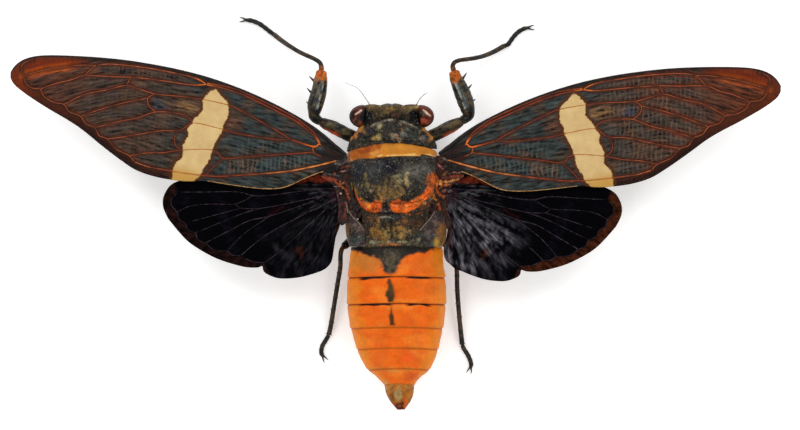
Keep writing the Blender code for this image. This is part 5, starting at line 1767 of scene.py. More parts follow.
@dataclass
class Abdomen:
    """The six rings of the abdomen and the tail piece."""

    wax: Material
    side_fold: float = -0.42

    def relief(self, flat: Array, up: Array) -> Array:
        """Folds the flanks where back and belly plates meet, and dents the back a little."""
        return -0.22 * np.exp(-((up - self.side_fold) / 0.07) ** 2) + 0.035 * ripple(flat, 1.6, 91)

    def colours(self, flat: Array, up: Array, front: float, rear: float) -> Array:
        """Paints one ring, with painted shadow along the front of the first three rings.

        Args:
            flat: places seen from above.
            up: how far up each faces.
            front: the ring's front seam along Y.
            rear: its rear seam.

        Returns:
            The colours.
        """
        x, y = flat.T
        wide = np.abs(x - along(AXIS, y)) / along(HALF_WIDTH, y)
        ahead, edge = (np.abs(y - seam - 0.3 * wide**2) for seam in (front, rear))
        first, gap_shadowed, late = front < 10, 10 < front < 18, front > 18
        # Where painted shadow lies in the gaps at the front of rings 2 and 3, on both sides of the middle
        gap_shadow = np.maximum(ease(x, -6.6, -5.2) * ease(-x, 1.2, 2.4), ease(x, 0.2, 1.4) * ease(-x, -7.0, -5.8))
        width = 0.4 + 0.16 * ripple(flat, 2.2, 98)
        colours = layered(
            ground_of(len(flat), "E0620E"),
            ("E67C24", 0.6 * ease(ripple(flat * (0.7, 1.3), 3.0, 93), 0.0, 1.0)),
            ("D64E08", 0.35 * ease(ripple(flat * (0.6, 1.6), 1.3, 94), 0.3, 1.2)),
            ("DC861C", 0.7 * ease(wide + 0.06 * ripple(flat, 2.0, 92), 0.6, 0.98)),
        )
        return layered(
            paint(flat, colours, ABDOMEN_PATCHES, 95),
            ("B8600E", 0.6 * ease(-edge, -0.28, -0.08)),
            # Along the front seam: painted shadow under the waist plate's edge on the first ring, a darker
            # orange seam line on the others
            (
                "100B09" if first else "B4560C" if late else "9A3C06",
                ease(-ahead, -0.3, -0.12) * (ease(x, -6.2, -5.2) if first else 1.0),
            ),
            # Painted shadow in the gaps at the front of rings 2 and 3
            ("1E0804", gap_shadowed * gap_shadow * ease(width - ahead, -0.08, 0.08)),
            ("B87A38", ease(-up, -0.05, 0.35) * 0.9),
        )

    def build(self) -> None:
        """Makes the rings and the tail piece."""
        seams = [WAIST] + [(y, 0.3, 2) for y in ABDOMEN_SEAMS]
        for k, (front, rear) in enumerate(zip(seams[:-1], seams[1:])):
            sink = 0.03 if k in (1, 2) else 0.014
            Shell(f"abdomen_ring_{k + 1}", front, rear, sink=sink, lip=0.012, rows=60, columns=288).piece(
                self.relief, lambda flat, up, a=front[0], b=rear[0]: self.colours(flat, up, a, b),
            ).finish(self.wax, "orange_chitin", [f"abdomen_{k + 1}"])
        self.tail(seams[-1])

    def tail(self, front: Seam) -> None:
        """Makes the tail piece, with its beak and the two lobes beside it."""
        shell = Shell("tail_piece", front, (TAIL_TIP, 0.0, 2), rows=60, columns=96, lip=0.0, sink=0.05)

        def relief(flat: Array, up: Array) -> Array:
            """Raises the beak and sinks a furrow on each side of it."""
            height = swell(flat, (
                (((0.8, 31.4), (0.25, 34.2)), 0.22, -0.35), (((-1.5, 31.4), (-1.0, 34.2)), 0.22, -0.35),
            ), ((-0.3, 31.6, 0.7, 1.2, 0.3),))
            return (height + 0.05 * ripple(flat, 0.5, 97)) * ease(up, 0.0, 0.3)

        def colours(flat: Array, up: Array) -> Array:
            """Paints the tail piece: ochre, with a pale beak and a dark red tip."""
            ground = layered(
                ground_of(len(flat), "A8641C"), ("7A4A16", 0.6 * ease(ripple(flat, 0.7, 96), 0.0, 1.0)),
            )
            ground = paint(flat, ground, spots(
                (-0.3, 31.7, 0.6, 1.0, "A08A58", 0.35, 0.8), (-0.4, 34.3, 1.5, 0.9, "4E1208", 0.3, 0.95, 0.4),
                (0.8, 32.4, 0.4, 0.9, "6E441E", 0.3, 0.8), (-1.4, 33.2, 0.3, 0.8, "C05418", 0.3, 0.8),
                (0.6, 33.6, 0.3, 0.5, "B84A18", 0.2, 0.8), (-0.4, 30.5, 1.9, 0.3, "B08048", 0.2, 0.6, 0.5),
                (-0.3, 31.8, 0.12, 0.8, "6E5A34", 0.08, 0.8, 0.05),
            ), 99)
            return layered(ground, ("9A5A26", 0.7 * ease(-up, 0.0, 0.3)))

        shell.piece(relief, colours).finish(self.wax, "ochre_chitin", ["pygofer"])


COVER_INNER = {
    Side.LEFT: ((-0.5, 7.9), (0.6, 7.1), (2.5, 5.5), (3.6, 5.3), (5.8, 5.2)),
    Side.RIGHT: ((-0.9, 6.9), (0.6, 5.9), (2.2, 4.4), (3.3, 3.6), (5.8, 4.9)),
}


@dataclass
class TymbalCover:
    """The domed cover over one sound membrane, behind the wings, with its pale raised edge."""

    side: Side
    front: float = -0.5
    rear: float = 5.8
    crest: float = 14.25
    base: float = 6.95
    outer: float = 8.75
    rows: int = 44
    columns: int = 56

    def rings(self) -> Array:
        """Returns the dome's cross-sections, each from its inner edge over its crest and back below."""
        t = np.linspace(0, 1, self.rows)
        swell_out = 0.5 + 0.5 * np.sin(math.pi * (0.12 + 0.76 * t))
        rings = []
        for place, full in zip(self.front + (self.rear - self.front) * t, swell_out):
            inner = float(along(COVER_INNER[self.side], place))
            wide = self.base + (self.outer - self.base) * full
            high = min(self.crest, float(along(TOP, place)) - 0.5) + 0.35 * full
            line = smooth_line((
                (inner, high - 0.3), (inner + 0.25, high), ((inner + wide) / 2, high - 0.15),
                (wide - 0.7, high - 1.0), (wide, 11.8), (wide - 0.15, 9.6), (7.3, 8.2),
            ), 0.25)
            back = smooth_line(((7.0, 8.3), (6.8, 11.0), (min(6.8, inner + 0.6), high - 0.9)), 0.4)
            loop = np.vstack((line, back, line[:1]))
            done = run_of(loop)
            spot = np.linspace(0, done[-1], self.columns, endpoint=False)
            x, z = (np.interp(spot, done, loop[:, k]) for k in (0, 1))
            across = along(AXIS, place) + self.side.value * x
            rings.append(np.stack((across, np.full(len(x), place), z), axis=1))
        return np.array(rings)

    def colours(self, points: Array) -> Array:
        """Paints the dome: dusky, ochre towards its outer edge."""
        (x, y), right = points[:, :2].T, self.side is Side.RIGHT
        outer = ease(self.side.value * x, *((6.4, 7.8) if right else (8.0, 8.8)))
        broken = 0.5 + 0.35 * ease(ripple(points, 0.6, 133), -0.8, 0.6)
        spot = ease(-np.hypot((x + 7.1) * 1.3, (y - 5.1) * 0.8), -1.1, -0.2)
        return layered(
            ground_of(len(points), "2C2225"),
            ("54443C", 0.8 * ease(ripple(points, 0.7, 131), 0.0, 1.0)),
            ("2E3A36", 0.7 * ease(y, 2.6, 4.6) * ease(ripple(points, 0.9, 132), -1.0, 0.6)),
            ("80541E", outer * ease(y, 0.8, 3.0) * broken),
            ("A6802E", 0.8 * right * spot),
        )

    def build(self, shell: Material, rim: Material) -> None:
        """Makes the dome and its edge."""
        rings, word = self.rings(), self.side.word
        points, faces = skin(rings)
        dome = Piece(f"tymbal_cover_{word}_dome", points, faces, self.colours(points))
        dome.finish(shell, "tymbal_chitin", [f"tymbal_cover_{word}"])
        edge = rings[:round(self.rows * 0.56), 2] + (0, 0, 0.03)
        outer = np.array([ring[np.argmax(self.side.value * ring[:, 0])] for ring in rings[3:-6]])
        points, faces = join([
            tube(line, rounded_ends(np.full(len(line), size), line, 0.4), 8)
            for line, size in ((edge, 0.08), (outer, 0.06))
        ])
        Piece(f"tymbal_cover_{word}_edge", points, faces).finish(rim, "tymbal_chitin")


@dataclass
class Operculum:
    """The plate under one sound chamber."""

    side: Side
    width: Table = ((3.0, 2.6), (5, 4.3), (7.5, 4.2), (9.6, 1.6))
    inner: float = 0.35
    thick: float = 0.6

    def build(self, wax: Material) -> None:
        """Makes the plate, following the belly."""
        rows, columns = 36, 30
        rings = []
        for y in np.linspace(self.width[0][0], self.width[-1][0], rows):
            part = np.linspace(0, 1, columns)
            x = along(AXIS, y) + self.side.value * (self.inner + float(along(self.width, y)) * part)
            half, top, bottom = float(along(HALF_WIDTH, y)), float(along(TOP, y)), float(along(BOTTOM, y))
            ratio = np.minimum(np.abs(x - along(AXIS, y)) / half, 1.0)
            z = (top + bottom) / 2 - (top - bottom) / 2 * (1 - ratio**2.4) ** (1 / 2.4) - 0.25
            puff = self.thick * np.sqrt(np.clip(1 - (2 * part - 1) ** 6, 0, 1))
            over = np.stack((x, np.full(columns, y), z), axis=1)
            below = np.stack((x, np.full(columns, y), z - puff), axis=1)
            rings.append(np.vstack((over, below[::-1][1:-1])))
        points, faces = skin(np.array(rings))
        colours = layered(
            ground_of(len(points), "8A5A26"), ("4A2C16", ease(ripple(points, 1.6, 141), 0.0, 1.0)),
        )
        word = self.side.word
        plate = Piece(f"operculum_{word}_plate", points, faces, colours)
        plate.finish(wax, "ochre_chitin", [f"operculum_{word}"])


FEELERS = {
    Side.LEFT: (
        (4.4, -18.5, 8.6), (4.8, -19.25, 8.9), (5.5, -20.3, 9.2), (6.3, -21.4, 9.2), (7.2, -22.2, 9.0),
        (9.0, -22.95, 8.6),
    ),
    Side.RIGHT: (
        (-3.2, -18.5, 8.6), (-3.6, -19.25, 8.9), (-4.1, -20.1, 9.2), (-4.8, -20.8, 9.2), (-5.4, -21.15, 9.1),
    ),
}
BEAK = (
    (0.85, -17.7, 4.5, 0.62), (0.82, -17.3, 3.7, 0.6), (0.75, -16.0, 3.1, 0.5), (0.6, -12.5, 2.6, 0.42),
    (0.5, -8.6, 2.2, 0.18),
)


@dataclass
class Head:
    """The head: its roof, bulging eyes, three small eyes, ridged face, feelers and beak."""

    middle: float = 0.84
    cheek: float = 5.25
    eye_place: tuple[float, float] = (-17.0, 9.7)
    eye_radii: tuple[float, float, float] = (2.45, 2.05, 2.15)
    eye_offset: float = 5.0
    face_y: float = -18.6
    face_z: float = 8.2
    rib_pitch: float = 0.62

    def relief(self, flat: Array, up: Array) -> Array:
        """Raises the brow lobes and the bosses of the small eyes, and sinks the pools beside the eyes."""
        x = self.middle
        brow = ((x + 3.6, -17.6), (x + 1.6, -18.0), (x, -17.9), (x - 1.6, -18.0), (x - 3.6, -17.6))
        height = both_sides(flat, x, (), ((3.2, -18.4, 1.1, 0.5, 0.35), (4.2, -17.0, 0.8, 0.9, -0.3)))
        height += swell(flat, ((brow, 0.16, -0.2),), ((x, -18.6, 1.3, 0.5, 0.3), (x, -17.35, 0.9, 0.5, 0.25)))
        return (height + 0.05 * ripple(flat, 0.6, 151) + 0.03 * ripple(flat, 0.25, 152)) * ease(up, 0.0, 0.35)

    def roof(self, down: Material) -> None:
        """Makes the head capsule."""
        shell = Shell(
            "head_capsule", HEAD_FRONT, NECK, 3.8, limit=self.cheek, tuck=0.3, sink=0.07, lip=0.0, rows=50,
        )
        shell.piece(
            self.relief,
            lambda flat, up: layered(
                paint(flat, ground_of(len(flat), "2C2520"), HEAD_PATCHES, 160),
                ("1E1812", ease(-up, -0.35, 0.1)),
            ),
        ).finish(down, "dark_chitin", ["head"])

    def face(self, shine: Material) -> None:
        """Makes the ribbed swelling of the face."""
        place = (self.middle, self.face_y + 0.05, self.face_z)
        front = bead("face_swelling", place, (2.25, 0.72, 3.0), rings=40)
        for vert in front.data.vertices:
            x, z = vert.co.x / MM - self.middle, vert.co.z / MM - self.face_z
            furrow = math.exp(-((x / 0.22) ** 2)) * 0.05
            rib = 0.11 * math.sin(z * math.tau / self.rib_pitch) * min(abs(x) / 0.6, 1.0)
            vert.co.y += (furrow - rib) * MM if vert.co.y < self.face_y * MM else 0.0
        x, _, z = places_of(front).T
        groove = ease(-np.sin((z - self.face_z) * math.tau / self.rib_pitch), -0.2, 0.6)
        groove = groove * ease(np.abs(x - self.middle), 0.3, 0.7)
        self.paint_bead(front, "1C1612", (), ("8A6A34", 0.85 * groove))
        dress(front, shine, ["postclypeus"])

    def plates(self, down: Material) -> None:
        """Makes the cheeks and the plates over the feelers."""
        for side in Side:
            for name, out, back, z, radii, low, patches, node in (
                ("cheek_plate_{}", 2.9, 0.2, 7.4, (0.85, 0.62, 1.7), "14110E", (), None),
                (
                    "antennal_plate_{}_boss", 3.4, 0.05, 10.0, (1.75, 0.6, 1.15), "4A3A20", HEAD_PATCHES[:3],
                    "antennal_plate_{}",
                ),
            ):
                place = (self.middle + side.value * out, self.face_y + back, z)
                plate = bead(name.format(side.word), place, radii)
                self.paint_bead(plate, low, patches)
                dress(plate, down, [node.format(side.word)] if node else ())

    def small_eyes(self, glossy: Material) -> None:
        """Makes the three small eyes on the roof."""
        for k, (x, y, sunk) in enumerate(((0.0, -17.75, 0.12), (0.62, -17.28, 0.0), (-0.62, -17.28, 0.0))):
            place = (self.middle + x, y, 12.62 - sunk)
            jewel = bead(f"small_eye_{k + 1}", place, (0.24, 0.24, 0.2), rings=12)
            dress(jewel, glossy)

    def paint_bead(
        self, item: bpy.types.Object, low: str, patches: Sequence[Patch], *layers: tuple[str, Array],
    ) -> None:
        """Paints a bead.

        Args:
            item: the bead.
            low: its ground colour.
            patches: patches seen from above.
            layers: what goes over them, as a colour and its share at each point.
        """
        coords = places_of(item)
        colours = paint(coords[:, :2], ground_of(len(coords), low), patches, 155)
        store(item.data, "pigment", layered(colours, *layers))

    def eyes(self, ball: Material) -> None:
        """Makes the eyes, each flattened where it meets the cheek, painted with a highlight streak and with
        shade on its lower part.
        """
        for side in Side:
            x = self.middle + side.value * self.eye_offset
            eye = bead(f"eye_{side.word}_ball", (x, *self.eye_place), self.eye_radii, rings=44)
            for vert in eye.data.vertices:
                vert.co.x += 0.7 * max((x * MM - vert.co.x) * side.value, 0.0) * side.value
            # Painted shade: the eye darkens towards its underside, where it turns under
            tall = (places_of(eye)[:, 2] - self.eye_place[1]) / self.eye_radii[2]
            self.paint_bead(eye, "2A110C", EYE_PATCHES[side], ("1C0A06", 0.9 * ease(-tall, -0.5, -0.15)))
            dress(eye, ball, [f"eye_{side.word}"])

    def feelers(self, horn: Material) -> None:
        """Makes the hair-thin feelers on their two stout first joints."""
        for side in Side:
            line = smooth_line(FEELERS[side], 0.12)
            done = run_of(line)
            radii = np.interp(
                done, (0, 0.35, 0.45, 0.7, 0.85, 1.0, 6.0), (0.28, 0.28, 0.18, 0.18, 0.08, 0.065, 0.035),
            )
            radii *= 1 + 0.12 * np.sin(done * math.tau / 0.9) * (done > 1.0)
            points, faces = tube(line, radii, 10)
            bristle = Piece(f"antenna_{side.word}_bristle", points, faces)
            bristle.finish(horn, "dark_chitin", [f"antenna_{side.word}"])

    def beak(self, horn: Material) -> None:
        """Makes the sucking beak, folded back under the thorax."""
        line = smooth_line(BEAK, 0.25)
        points, faces = tube(line[:, :3], rounded_ends(line[:, 3], line[:, :3], 0.25), 20, squash=0.8)
        Piece("rostrum_sheath", points, faces).finish(horn, "dark_chitin", ["rostrum"])


# Legs: for each length its joints as (x, y, z, radius), the foot last
LEGS = {
    "front_left": {
        "coxa": (
            (6.3, -12.9, 6.4, 1.1), (7.7, -13.5, 6.6, 1.15), (9.2, -14.2, 6.8, 1.15),
            (11.2, -15.2, 7.0, 1.15), (12.6, -15.8, 7.1, 0.95), (13.5, -16.25, 7.2, 0.7),
        ),
        "femur": (
            (12.9, -16.0, 7.1, 0.7), (13.9, -16.5, 7.3, 0.85), (14.5, -17.2, 7.5, 0.95),
            (14.35, -18.5, 7.9, 1.3), (14.1, -19.6, 8.2, 1.42), (13.6, -21.4, 8.7, 1.36),
            (13.3, -23.4, 9.3, 1.2), (13.2, -24.4, 9.5, 1.0), (13.15, -25.2, 9.6, 1.0),
        ),
        "tibia": (
            (13.15, -25.1, 9.6, 0.5), (13.3, -26.2, 9.2, 0.42), (14.2, -27.0, 8.6, 0.4),
            (16.9, -28.3, 6.5, 0.4), (18.7, -29.4, 4.6, 0.42), (20.4, -30.6, 2.4, 0.45),
            (21.6, -31.6, 0.9, 0.45),
        ),
        "tarsus": (
            (21.6, -31.6, 0.9, 0.4), (22.2, -32.0, 0.42, 0.42), (23.2, -32.8, 0.36, 0.42),
            (24.2, -33.5, 0.36, 0.42), (25.4, -34.0, 0.36, 0.42), (26.2, -34.15, 0.36, 0.38),
            (26.9, -34.2, 0.3, 0.25),
        ),
    },
    "front_right": {
        "coxa": (
            (-4.8, -12.9, 6.4, 1.1), (-6.2, -13.6, 6.6, 1.15), (-7.7, -14.3, 6.8, 1.15),
            (-9.6, -15.3, 7.0, 1.15), (-10.8, -15.9, 7.1, 0.95), (-11.7, -16.4, 7.2, 0.7),
        ),
        "femur": (
            (-11.1, -16.1, 7.1, 0.7), (-12.1, -16.7, 7.3, 0.85), (-12.7, -17.4, 7.5, 1.0),
            (-12.4, -18.6, 7.9, 1.32), (-11.9, -20.2, 8.3, 1.45), (-11.2, -21.9, 8.7, 1.36),
            (-10.5, -23.5, 9.2, 1.15), (-10.2, -24.4, 9.4, 0.98), (-10.0, -25.1, 9.5, 0.98),
        ),
        "tibia": (
            (-10.0, -25.0, 9.5, 0.5), (-9.9, -26.1, 9.1, 0.42), (-10.8, -26.8, 8.5, 0.4),
            (-13.7, -27.3, 6.2, 0.4), (-15.5, -27.8, 4.4, 0.42), (-17.3, -28.6, 2.4, 0.45),
            (-19.0, -29.6, 0.9, 0.45),
        ),
        "tarsus": (
            (-19.0, -29.6, 0.9, 0.4), (-19.7, -29.9, 0.42, 0.42), (-20.5, -31.0, 0.36, 0.42),
            (-21.3, -31.9, 0.36, 0.42), (-22.2, -32.5, 0.36, 0.4), (-22.9, -32.75, 0.36, 0.36),
            (-23.5, -32.8, 0.3, 0.25),
        ),
    },
    "middle_left": {
        "coxa": ((4.6, -4.2, 2.9, 0.85), (4.8, -4.2, 2.2, 0.85), (5.9, -4.1, 1.8, 0.75)),
        "femur": (
            (5.9, -4.1, 1.8, 0.7), (7.0, -4.0, 2.2, 0.8), (10.0, -3.8, 4.6, 0.85), (12.6, -3.6, 6.4, 0.75),
        ),
        "tibia": (
            (12.6, -3.6, 6.4, 0.45), (13.4, -3.4, 6.5, 0.42), (14.6, -2.9, 5.9, 0.4), (17.2, -1.6, 3.4, 0.42),
            (19.4, -0.4, 0.95, 0.45),
        ),
        "tarsus": (
            (19.4, -0.4, 0.95, 0.4), (20.0, -0.05, 0.42, 0.42), (21.3, 0.7, 0.36, 0.42),
            (22.6, 1.6, 0.36, 0.4), (23.3, 2.1, 0.3, 0.25),
        ),
    },
    "hind_left": {
        "coxa": ((3.5, 1.2, 2.45, 0.8), (3.6, 1.2, 1.95, 0.8), (4.9, 1.8, 1.7, 0.7)),
        "femur": ((4.9, 1.8, 1.7, 0.65), (5.8, 2.5, 2.1, 0.75), (8.1, 4.8, 4.4, 0.75), (9.3, 5.8, 5.7, 0.65)),
        "tibia": (
            (9.3, 5.8, 5.7, 0.45), (9.7, 6.5, 5.9, 0.42), (9.85, 7.6, 5.6, 0.42), (9.9, 9.5, 4.9, 0.42),
            (10.4, 12.5, 3.8, 0.42), (11.0, 16.2, 2.5, 0.42), (11.6, 19.8, 1.3, 0.44),
            (12.0, 21.5, 0.85, 0.45),
        ),
        "tarsus": (
            (12.0, 21.5, 0.85, 0.4), (12.4, 22.2, 0.42, 0.42), (13.1, 23.4, 0.36, 0.42),
            (13.3, 24.5, 0.36, 0.42), (13.1, 25.0, 0.36, 0.38), (12.85, 25.4, 0.3, 0.25),
        ),
    },
    "hind_right": {
        "coxa": ((-3.5, 1.2, 2.45, 0.8), (-3.6, 1.2, 1.95, 0.8), (-4.9, 1.8, 1.7, 0.7)),
        "femur": (
            (-4.9, 1.8, 1.7, 0.65), (-5.8, 2.5, 2.1, 0.75), (-8.2, 4.9, 4.4, 0.75), (-9.5, 6.0, 5.7, 0.65),
        ),
        "tibia": (
            (-9.5, 6.0, 5.7, 0.45), (-10.0, 6.8, 5.9, 0.42), (-10.4, 8.0, 5.6, 0.42),
            (-10.6, 10.0, 5.0, 0.42), (-10.7, 13.5, 3.9, 0.42), (-11.0, 17.5, 2.6, 0.42),
            (-11.35, 21.0, 1.4, 0.44), (-11.6, 23.2, 0.85, 0.45),
        ),
        "tarsus": (
            (-11.6, 23.2, 0.85, 0.4), (-11.9, 23.9, 0.42, 0.42), (-12.6, 25.0, 0.36, 0.42),
            (-13.1, 26.2, 0.36, 0.42), (-13.15, 26.9, 0.36, 0.38), (-13.0, 27.4, 0.3, 0.25),
        ),
    },
}
MIDDLE_RIGHT_SHIFT = 0.9
FEMUR_SPINES = {
    "front_left": (
        ((14.2, -23.0, 9.1), (15.35, -24.1, 8.7)), ((14.5, -20.7, 8.5), (15.75, -22.05, 8.0)),
        ((14.9, -18.8, 8.0), (15.9, -19.7, 7.5)),
    ),
    "front_right": (
        ((-11.3, -23.2, 9.1), (-12.35, -24.75, 8.7)), ((-12.0, -21.3, 8.5), (-13.3, -22.75, 8.0)),
        ((-12.7, -19.2, 8.0), (-13.9, -20.1, 7.5)),
    ),
}


@dataclass
class Leg:
    """One leg: haunch, thigh, shin with its spurs, and a three-jointed foot with two claws."""

    name: str
    lengths: dict
    sides: int = 20
    claw_length: float = 1.0
    claw_spread: float = 0.42

    def thorn(self, base: Sequence[float], tip: Sequence[float], radius: float, bend: float = 0.1) -> Shape:
        """Makes a slightly bent spine.

        Args:
            base: its root.
            tip: its point.
            radius: at the root.
            bend: how far its middle bows up.

        Returns:
            Points and faces.
        """
        start, end = np.array(base, dtype=float), np.array(tip, dtype=float)
        middle = (start + end) / 2 + np.array((0, 0, bend))
        line = smooth_line((start, middle, end), 0.12)
        t = np.linspace(0, 1, len(line))
        return tube(line, radius * (1 - t) ** 0.8 + 0.012, 8)

    def spurs(self, line: Array, draw: np.random.Generator) -> list[Shape]:
        """Sets small spurs along a shin, in two rows that lean towards the foot."""
        ahead = np.gradient(line[:, :3], axis=0)
        parts = []
        for k in np.linspace(0.3, 0.97, 6) * (len(line) - 1):
            spot = line[int(k)]
            heading = ahead[int(k)] / np.linalg.norm(ahead[int(k)])
            beside = np.cross(heading, (0, 0, 1.0))
            for sign in (1, -1):
                start = spot[:3] + beside * sign * spot[3] * 0.7
                size = draw.uniform(0.35, 0.6)
                tip = start + (heading * 0.85 + beside * sign * 0.6) * size
                parts.append(self.thorn(start, tip, 0.07, 0.0))
        return parts

    def claws(self, joints: Sequence) -> list[Shape]:
        """Makes the two hooked claws at the last of the foot's joints."""
        end, before = np.array(joints[-1][:3]), np.array(joints[-2][:3])
        ahead = (end - before) * (1, 1, 0)
        ahead /= np.linalg.norm(ahead)
        beside = np.array((-ahead[1], ahead[0], 0))
        parts = []
        for sign in (1, -1):
            line = smooth_line([end + ahead * self.claw_length * on + beside * sign * off for on, off in (
                (-0.3, 0.08), (0.35, 0.75 * self.claw_spread), (0.9, self.claw_spread),
            )], 0.1)
            t = np.linspace(0, 1, len(line))
            line[:, 2] = np.interp(t, (0, 0.45, 1), (0.3, 0.42, 0.05))
            parts.append(tube(line, 0.16 * (1 - t**1.5) + 0.02, 8, floor=True))
        return parts

    def furrows(self) -> list[tuple[Array, float, float, str]]:
        """Returns the lines that run along a front thigh: each with its width, its relief and its colour,
        paler on ridges as painted highlights.
        """
        path = smooth_line([joint[:2] for joint in self.lengths["femur"][3:8]], 0.2)
        ahead = np.gradient(path, axis=0)
        inward = np.column_stack((ahead[:, 1], -ahead[:, 0])) / np.linalg.norm(ahead, axis=1)[:, None]
        inward *= -np.sign((inward[:, :1] * path[:, :1]).sum())
        # Paler lines lie on raised ridges as painted highlight streaks; the darker lines lie mostly in the
        # grooves
        rows = (
            (0.15, 0.5, -0.12, "262A2E"), (0.5, 0.12, 0.1, "8E928A"), (0.2, 0.08, 0.05, "4E565A"),
            (0.9, 0.16, 0.0, "0A0908"), (-0.1, 0.07, 0.04, "545850"), (-0.4, 0.1, 0.1, "46443A"),
            (-0.62, 0.12, -0.1, "0C0B0A"), (-0.85, 0.1, 0.08, "3E3A2E"),
        )
        return [(path + inward * shift, width, rise, code) for shift, width, rise, code in rows]

    def colours(self, points: Array, part: str) -> Array:
        """Paints a length: near-black, with rusty joints, and painted highlight streaks along a front thigh's
        ridges.

        Args:
            points: (n, 3) places.
            part: the length's name.

        Returns:
            (n, 4) colours.
        """
        colours = layered(
            ground_of(len(points), "171716"), ("3A3022", 0.6 * ease(ripple(points, 1.0, 171), 0.2, 1.0)),
        )
        front = self.name.startswith("front")
        x, y, z = points.T
        from_hip, from_knee = (
            np.linalg.norm(points - np.array(self.lengths["femur"][k][:3]), axis=1) for k in (0, -1)
        )
        if part == "femur" and front:
            # Painted highlight streaks on the thigh's ridges, and darker lines in its grooves
            for line, width, _, code in self.furrows():
                away = distance_to(points[:, :2], [line]) + 0.06 * ripple(points, 0.6, 174)
                colours = layered(
                    colours, (code, 0.9 * ease(-away, -width, -0.4 * width) * ease(z, 7.2, 8.2)),
                )
            cap = from_knee + 0.3 * ripple(points, 0.7, 175)
            rust = ease(-cap, -2.1, -1.7)
            return layered(
                colours,
                ("5A4A2E", 0.5 * ease(ripple(points, 0.6, 178), 0.2, 1.0)),
                ("7E5C34", 0.7 * ease(-cap, -2.4, -2.0)),
                ("A4500A", rust),
                ("5E2208", 0.8 * rust * ease(ripple(points, 0.45, 176), 0.1, 1.0)),
            )
        if part == "tibia":
            return layered(
                colours,
                ("4A3420", 0.7 * ease(ripple(points * (0.5, 1, 1), 0.7, 179), -0.2, 0.9)),
                ("8C4A20", 0.8 * ease(-from_knee, -1.0, -0.3)),
            )
        if part == "coxa" and front:
            rear = ease(y - np.interp(np.abs(x - 0.7), (6, 12.5), (-13.1, -15.7)), 0.2, 0.7)
            mottle = ease(ripple(points * (0.6, 1, 1), 0.6, 173), -0.6, 0.8)
            return layered(
                colours,
                ("54482E", 0.8 * mottle * ease(z, 6.6, 7.6)),
                ("0C0B0A", rear),
                ("C04A14", rear * ease(-np.abs(from_hip - 2.4), -1.9, -0.6)),
                ("8A4A20", 0.8 * ease(-from_hip, -1.1, -0.3)),
            )
        if part in ("femur", "coxa"):
            return layered(colours, ("5E3218", 0.7 * ease(-from_hip, -1.4, -0.4)))
        return colours

    def build(self, horn: Material) -> None:
        """Makes the four lengths with what grows on them."""
        draw = np.random.default_rng(SEED + len(self.name) * 7)
        for part, joints in self.lengths.items():
            bold = self.name.startswith("front") and part in ("femur", "coxa")
            line = smooth_line(joints, 0.14 if bold else 0.22)
            path, radii = line[:, :3], line[:, 3].copy()
            done = run_of(path)
            foot = part == "tarsus"
            if foot:
                radii *= 0.9 + 0.14 * np.cos((done / done[-1]) * math.tau * 3) ** 2
            radii = rounded_ends(radii, path, 0.5 if bold else 0.22)
            points, faces = tube(path, radii, 56 if bold else self.sides, floor=True)
            if bold:
                points = points + 0.02 * ripple(points, 0.6, 177)[:, None]
            if bold and part == "femur":
                for groove, width, rise, _ in self.furrows():
                    points[:, 2] += ridge(points[:, :2], groove, width, rise) * ease(points[:, 2], 7.6, 8.6)
            parts = [(points, faces)]
            if part == "femur":
                parts += [self.thorn(base, tip, 0.34) for base, tip in FEMUR_SPINES.get(self.name, ())]
            if part == "tibia":
                parts += self.spurs(line, draw)
            if foot:
                parts += self.claws(joints)
            points, faces = join(parts)
            piece = Piece(f"{self.name}_{part}_shell", points, faces, self.colours(points, part))
            piece.finish(horn, "leg_chitin", [f"{self.name}_{part}"])


